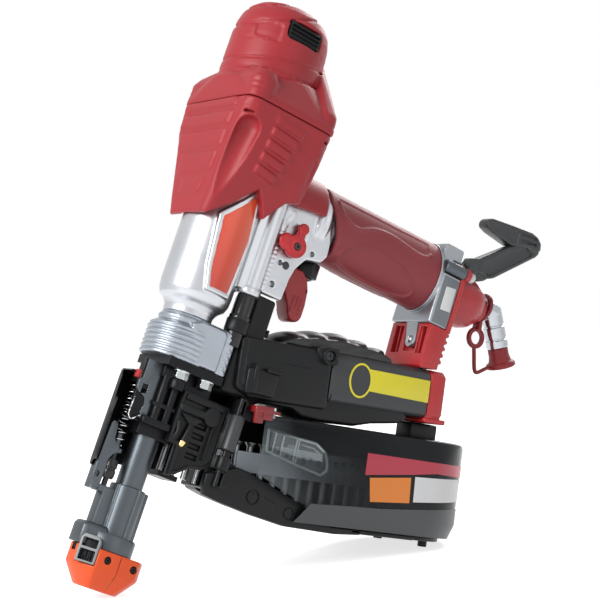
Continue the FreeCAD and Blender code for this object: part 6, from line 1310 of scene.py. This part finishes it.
shell_section = [(-20, 126.4), (-17.6, 124), (17.6, 124), (20, 126.4), (20, 150.4), (16.4, 154),
    (-16.4, 154), (-20, 150.4)]
grey_shell = slab(shell_section, low.x, high.x - 0.3, "X", rim=1.2, steps=3)
grey_shell = cut(grey_shell, both_sides(brick((low.x + 2.2, -21, 151.3),
    (high.x - 2, -19.3, 151.9))), brick((low.x + 1.0, -21, 122), (low.x + 1.7, 21, 129), rim=0.1))
shell_grey = finish("shell_grey", (0.030, 0.033, 0.036), 0.40, (0.08, 0.085, 0.09), grain=1300,
    depth=0.06, uneven=0.15, edge=0.0008, shine=0.4)
piece("arm_rear", grey_shell, magazine, shell_grey, "tool", "grey_plastic", "arm_shell", crease=34)

# ---- Arm panel: a bare yellow sheet stuck on the arm's near side. Its front end is round,
# with a dark disc inside.
panel_yellow = finish("panel_yellow", (0.80, 0.70, 0.015), 0.35, grain=1200, depth=0.02,
    uneven=0.04, coat=0.2)
panel = slab([(150, 147.6), (201.4, 147.0), (201.4, 133.2), (150, 134.4)], -20.35, -19.9, rim=0.08)


def round_end(low, high, wide, tall):
    """An oval disc in the panel's round end."""
    disc = bar("Y", 0, 0, low, high, 1.0, sides=64)
    disc.transform(Matrix.Translation((148.4, 0, 139.8)) @ Matrix.Diagonal((wide, 1, tall, 1)))
    return disc


yellow = cut(together(panel, round_end(-20.35, -19.9, 8.4, 10.6)),
    round_end(-20.6, -19.8, 7.2, 9.3))
piece("arm_panel_yellow", yellow, magazine, panel_yellow, "tool", "grey_plastic")
piece("arm_panel_dark", round_end(-20.25, -19.9, 7.2, 9.3), magazine, shell_grey, "tool",
    "grey_plastic")

# ---- Arm guard: a black rubber cover stretched over the arm's top, moulded in slanting
# waves that take the knocks.
waves = [slab([(95, 153.2), (174.4, 153.2), (171.6, 157), (160, 159.6), (140, 161.6), (116, 160.6),
    (102, 158), (97, 155.6)], -16.6, 16.6, rim=1.4, steps=3)]
for x, z, long, tall in ((104, 157.4, 10, 5.2), (117.5, 159.2, 11, 5.8), (132.5, 160.4, 11.5, 5.8),
        (147.5, 159.4, 11, 5.0), (161.5, 157.6, 10, 4.2)):
    waves.append(ball((x, 0, z), (long, 16.2, tall), Matrix.Rotation(radians(-12), 4, "Y")
        @ Matrix.Rotation(radians(10), 4, "Z"), 4))
    waves.append(run_along([tuple(p) for p in smooth_line([(x - 9.4, -15.8, z - 2.6),
        (x - 3, -16.2, z + 0.4), (x + 3.5, -15.8, z + 1.2), (x + 10, -15.2, z - 2.2)], 4)], 1.2,
        10))
guard_bm = moulded(together(*waves), grain=0.7, passes=4)
rubber_black = finish("rubber_black", (0.0075, 0.008, 0.009), 0.34, (0.03, 0.031, 0.033),
    grain=1100, depth=0.05, uneven=0.15, shine=0.45)
piece("arm_waves", guard_bm, magazine, rubber_black, "tool", "black_rubber", "arm_guard",
    crease=180)

# ---- Arm end cap: a red nylon cap pushed on the arm's rear end, with a lip below it and
# a round nub behind.
low, high = span("arm_end_cap", magazine)
end_bm = together(slab(shell_section, low.x, 214.2, "X", rim=1.4, steps=3),
    brick((200.6, -19.9, low.z + 0.1), (high.x - 0.3, 19.9, low.z + 3.2), rim=1.1, steps=3),
    slab([(201, 121.6), (214, 121.6), (214, 126), (202, 126)], -18.6, 18.6, rim=0.6),
    bar("X", -12, 139, 213, 216.8, 4.2, rim=1.0, sides=40))
piece("end_cap_red", end_bm, magazine, bracket_red, "tool", "red_plastic", "arm_end_cap", crease=32)

# ---- Canister: the fixed half of the round magazine, black nylon, hung from the arm by a
# post. The coil's tray turns on its pillar.
drum_x, drum_y, drum_r = 210.0, 24.0, 47.0              # the drum's axis and radius
can_low, can_high, can_front = 51.0, 111.0, 84.0        # its floor, its roof and its front


def can_ring(inset, z, front=can_front):
    """Points round the canister's outline at one height, set in by so much."""
    around = [(drum_x + (drum_r - inset) * cos(turn), drum_y + (drum_r - inset) * sin(turn))
        for turn in [radians(-90 + 7.5 * step) for step in range(25)]]
    return [(x, y, z) for x, y in around + [(front, inset - 23), (front, 20.5 - inset),
        (165, 20.5 - inset)]]


def can_solid(inset, low, high, chamfer=9.0, rim=2.6):
    """The canister's whole block, chamfered below and rounded at its top rim."""
    return hull(can_ring(inset, high - rim) + can_ring(inset + rim * 0.3, high - rim * 0.3)
        + can_ring(inset + rim, high) + can_ring(inset, low + chamfer)
        + can_ring(inset + chamfer * 0.36, low))


near_region = [(can_front - 2, -30), (can_front - 2, -19.4), (196, -19.4), (224, -12), (244, 8),
    (248, drum_y + 0.2), (262, drum_y + 0.2), (262, -30)]
shell_solid = cut(can_solid(0, can_low, can_high), can_solid(2.2, can_low + 2, can_high - 2.2),
    brick((can_front - 2, -20.8, can_low + 1), (can_front + 3, 18.3, can_high - 2.2)),
    slab(near_region, 40, can_high + 2, "Z"))
front_cut = [(can_front - 4, 76), (can_front + 2, 75.2), (144, 51), (146, 40), (can_front - 4, 40)]
shell_solid = cut(shell_solid, slab(front_cut, -40, 80))
roof = cut(hull(can_ring(3.4, can_high - 2.2, 86) + can_ring(3.4, can_high - 0.6, 86)),
    brick((60, -40, 100), (86, 60, 120)))
low, high = span("magazine_pins", magazine)
hinge_x = high.x - 1.5
fittings = [bar("Z", drum_x, drum_y, can_low + 1, 99, 6.0, rim=0.8, sides=40),
    brick((200.4, -8, can_high - 1), (221.6, 8, 120.8), rim=1.6, steps=3),
    bar("Z", hinge_x, drum_y, 75, 87, 3.4, rim=0.4), brick((254.6, drum_y + 0.8, 75.2),
    (hinge_x, drum_y + 3.2, 86.8), rim=0.3)]
fittings += [hull([(drum_x + r * cos(turn), drum_y + r * sin(turn), z) for r in (10, 40)
    for turn in (radians(way - 2.2), radians(way + 2.2)) for z in (can_high - 1, can_high + 0.1)],
    rim=0.3) for way in range(-60, 240, 30)]
case_bm = cut(together(shell_solid, roof, *fittings), bar("Z", hinge_x, drum_y, 60, 105, 1.6))
piece("canister_case", case_bm, magazine, black_moulding, "tool", "black_plastic", "magazine_case",
    crease=34)
finish_nodes(black_moulding, "coil_tray")
strip_grey = finish("strip_grey", (0.62, 0.70, 0.78), 0.40, grain=1200, uneven=0.10)
screw_dark = finish("screw_dark", (0.30, 0.31, 0.32), 0.32, metal=1.0, grain=900, uneven=0.2)
finish_nodes(strip_grey, "screw_strip")
finish_nodes(screw_dark, "screw_coil")

# ---- Magazine base: a black nylon shoe under the channel, with two short feet that the
# gun stands on.
low, high = span("magazine_base", magazine)
shoe = slab([(51.6, 73), (51, 66.3), (51.9, 60.2), (62, 57.2), (85, 52), (110, 47.6), (146, 46.4),
    (165.6, 47.6), (165.6, 51), (143.4, 51), (129, 58.0), (96.5, 70.4), (80, 76.6), (72, 78.4),
    (60, 74.6)], -18, -11, rim=1.1, steps=3)
shoe = together(shoe, slab([(56, 73), (56, 66.6), (60, 62.0), (70, 58.6), (88, 54.2), (112, 50.0),
    (146, 48.6), (165.6, 49), (165.6, 51), (143.4, 51), (129, 58.0), (96.5, 70.4), (80, 76.6),
    (72, 78.4), (60, 74.6)], -11.5, 18, rim=1.1))
shoe = cut(shoe, brick((40, -13.4, 59), (152, 5.2, 92), rim=0.3), brick((40, 5, 67), (70, 14, 92)),
    turned([(3.6, 0), (4.6, 0), (4.6, 1), (3.6, 1), (3.6, 0)], (84.4, -18.2, 62.6), (0, 1, 0), 40),
    turned([(3.0, 0), (3.8, 0), (3.8, 1), (3.0, 1), (3.0, 0)], (111, -18.2, 55.4), (0, 1, 0), 40))
details = [turned([(0, 0), (2.2, 0), (2.2, 0.5), (1.6, 0.8), (0, 0.8)], (84.4, -17.9, 62.6),
    (0, -1, 0), 32), wedge(((92, 63.6), (100.6, 60.2), (99.6, 57), (91.6, 59.8)), -18.5, -17,
    rim=0.4), wedge(((60, 68.6), (66, 67.8), (65.4, 64.6), (59.6, 65.4)), -18.6, -17, rim=0.4),
    bar("Z", drum_x, drum_y, 48.1, 51.2, drum_r - 9, rim=0.8, sides=72),
    brick((158, -18, 48), (206, 24, 50.8), rim=0.8)]
details += [bar("Z", 228, y, low.z + 0.1, 49, 2.9, rim=0.6) for y in (0.5, 47.5)]
piece("base_shoe", together(shoe, *details), magazine, black_moulding, "tool", "black_plastic",
    "magazine_base", crease=34)
finish_nodes(zinc, "magazine_pins")

# ---- Cover: the smoked clear half of the canister, moulded in polycarbonate. It swings open
# on a hinge at the rear, and has a clear window over the waiting screws in front.
wall = cut(can_solid(0, can_low, can_high), can_solid(2.2, can_low + 2, can_high - 2.2))
wall = common(wall, slab(near_region, 40, can_high + 2, "Z"))
window = [(88.6, 102.2), (110, 99.6), (122, 98.2), (127.4, 94.2), (127.4, 88), (111, 88.4),
    (100, 90.4), (88.6, 92.6)]
wall = cut(wall, slab(front_cut, -40, 80), slab(window, -30, -15))
cover_parts = []
for low_z in (63, 87.3):
    cover_parts += [cut(bar("Z", hinge_x, drum_y, low_z, low_z + 11.6, 3.4, rim=0.4),
        bar("Z", hinge_x, drum_y, low_z - 1, low_z + 13, 1.6)),
        brick((254.6, drum_y - 3.2, low_z + 0.2), (hinge_x - 1.5, drum_y - 0.8, low_z + 11.4),
        rim=0.3)]
magazine_lean = 11.869
smoke, tree, shader = plain("smoke", Roughness=0.14, Specular_IOR_Level=0.16)
around, _, along = lie_along(tree, magazine_lean)
thick = node_of(tree, "MapRange", **{"From Min": 0.145, "From Max": 0.210, "To Min": 0.42,
    "To Max": 0.95})
tree.links.new(along.outputs["X"], thick.inputs["Value"])
tree.links.new(thick.outputs[0], shader.inputs["Alpha"])
# The cover's colour runs from a light grey at its front to near black towards the drum.
front_grey_ramp = node_of(tree, "MapRange", **{"From Min": 0.104, "From Max": 0.138})
tree.links.new(along.outputs["X"], front_grey_ramp.inputs["Value"])
tree.links.new(mix_colours(tree, front_grey_ramp.outputs[0], (0.22, 0.255, 0.27), (0.010, 0.012, 0.014)),
    shader.inputs["Base Color"])
ripple = node_of(tree, "TexNoise", Scale=60.0, Detail=2.0)
tree.links.new(around, ripple.inputs["Vector"])
waviness = node_of(tree, "Bump", Strength=0.2, Distance=0.0004)
tree.links.new(ripple.outputs[0], waviness.inputs["Height"])
tree.links.new(waviness.outputs[0], shader.inputs["Normal"])
piece("cover_wall", together(wall, *cover_parts), magazine, smoke, "cover", "smoked_clear",
    "magazine_cover", crease=34)
pane = slab(window, -22.6, -21.2, rim=0.3)
clear_pane, tree, shader = plain("clear_pane", Base_Color=(0.30, 0.33, 0.35, 1), Roughness=0.12)
mist = node_of(tree, "TexNoise", Scale=90.0, Detail=2.0)
place = tree.nodes.new("ShaderNodeTexCoord")
tree.links.new(place.outputs["Object"], mist.inputs["Vector"])
veil = node_of(tree, "MapRange", **{"To Min": 0.22, "To Max": 0.34})
tree.links.new(mist.outputs[0], veil.inputs["Value"])
tree.links.new(veil.outputs[0], shader.inputs["Alpha"])
piece("window_pane", pane, magazine, clear_pane, "cover", "clear_window", "cover_window")

frame_line = [(86.6, 102.6), (108, 99.8), (121, 98.4), (128.2, 94.0), (130.8, 88), (131, 83.4),
    (127, 80.2), (109, 84.2), (86.8, 90)]
bars = [run_along([(x, -22.1, z) for x, z in frame_line + frame_line[:2]], 0.85, 10)]
for x, low_z, high_z in ((91.6, 89.6, 101.6), (97.4, 88.0, 100.8), (107, 84.6, 99.8),
        (108.6, 84.2, 99.6)):
    bars.append(run_along([(x - 0.8, -22.0, low_z), (x + 0.6, -22.0, high_z)], 0.5, 8))
bars += [run_along([(x, -22.0, 91.4), (x + 1.6, -22.0, 95.4)], 0.3, 8)
    for x in (100.4, 102, 103.6, 105.2)]
bars += [run_along([(111, -22.0, 91.6), (121, -22.0, 90.2), (127, -22.0, 88.4)], 0.5, 8),
    run_along([(111, -22.0, 96.4), (120, -22.0, 95.2), (126, -22.0, 91.8)], 0.4, 8)]
frost = finish("frost", (0.34, 0.41, 0.42), 0.28, grain=1200, uneven=0.06, coat=0.3)
piece("window_bars", together(*bars), magazine, frost, "cover", "clear_window", crease=40)
band = slab([(99, 93.8), (130, 92.4), (168, 92.8), (168, 81.6)]
    + [point for step in range(11) for point in ((164.4 - 6 * step, 82.2), (162.6 - 6 * step, 78.4),
    (161.2 - 6 * step, 82.2))] + [(99, 82.2)], -19.2, -18.2, rim=0.1)
band = cut(band, *(brick((102 + 6 * step, -20, 85.4), (105 + 6 * step, -17, 89.4))
    for step in range(11)))
piece("strip_band", band, magazine, strip_grey, "tool", "strip_plastic")

# ---- Cover panels: bare coloured sheets stuck round the cover, a red band with an orange
# box and a white box below it, and a grey band along the foot.
cover_red = finish("cover_red", (0.44, 0.012, 0.040), 0.35, grain=1200, depth=0.02, uneven=0.05,
    coat=0.2)
panel_orange = finish("panel_orange", (0.76, 0.215, 0.012), 0.38, grain=1200, depth=0.02,
    uneven=0.05, coat=0.2)
rim_grey = finish("rim_grey", (0.042, 0.046, 0.050), 0.38, (0.1, 0.105, 0.11), grain=1200,
    depth=0.04)
skin_film = cut(can_solid(-0.25, can_low, can_high), can_solid(0.2, can_low, can_high))
panels = (("band_red", cover_red, [(159, 97.4), (262, 97.4), (262, 90), (236, 90.2), (214, 90.6),
    (196, 88.2), (159, 84.0)]), ("box_orange", panel_orange,
    [(162.8, 82.8), (194.0, 86.2), (195, 70.6), (165.2, 68.4)]),
    ("foot_band", rim_grey, [(122, 63), (150, 64.2), (176, 65.2), (197, 66.8), (236, 70.2),
    (262, 70.6), (262, 45), (110, 45)]), ("box_white", plate_white,
    [(197.2, 87.0), (236, 88.8), (244, 88.4), (244, 75), (236, 74.6), (198, 71.4)]))
for name, material, outline in panels:
    sheet = common(skin_film.copy(), slab(outline, -26, 6))
    piece(name, sheet, magazine, material, "cover", "smoked_clear")
skin_film.free()

# ---- Cover latch: a red nylon latch on top of the canister's front end; it turns on a pin
# and hooks over the cover.
low, high = span("cover_latch", magazine)
plate = cut(together(brick((low.x, low.y, can_high + 0.3), (86.4, high.y, high.z), rim=1.1,
    steps=3), hull([(x, y, z) for x, y in ((85, -25), (85, -17), (high.x, -20.6), (high.x, -17))
    for z in (111.4, 113.4)], rim=0.5)), bar("Z", 90.5, -18.4, 108, 118, 1.6))
latch = together(plate, brick((low.x, low.y, low.z), (low.x + 6, -23.3, can_high + 1.2), rim=0.8),
    brick((low.x + 4, low.y, 107.4), (86, -23.3, can_high + 1.2), rim=0.8),
    *(brick((low.x + 2 + step * 2.4, low.y + 0.4, high.z - 0.6),
    (low.x + 3.2 + step * 2.4, -17.6, high.z), rim=0.2) for step in range(5)))
latch_red = finish("latch_red", (0.22, 0.010, 0.014), 0.38, (0.4, 0.05, 0.05), grain=1100,
    depth=0.05, uneven=0.1)
piece("latch_bar", latch, magazine, latch_red, "latch", "red_plastic", "cover_latch", crease=32)

# ---- Head valve and its spring: a black acetal ring valve over the cylinder, held shut by
# a coil spring of bright spring steel.
valve_black = finish("valve_black", (0.014, 0.015, 0.016), 0.30, grain=1300)
finish_nodes(valve_black, "head_valve")
coiled("valve_spring", "head_valve_spring", 3, 0.8)

# ---- Air motor: a steel rotor with four black vanes, turning in a bored aluminium liner
# between two end plates.
vane_brown = finish("vane_brown", (0.06, 0.035, 0.022), 0.55, grain=900, depth=0.06)
finish_nodes(bright_steel, "motor_rotor")
finish_nodes(vane_brown, "motor_vanes")
finish_nodes(drawn_aluminium, "motor_liner", "motor_end_plates")
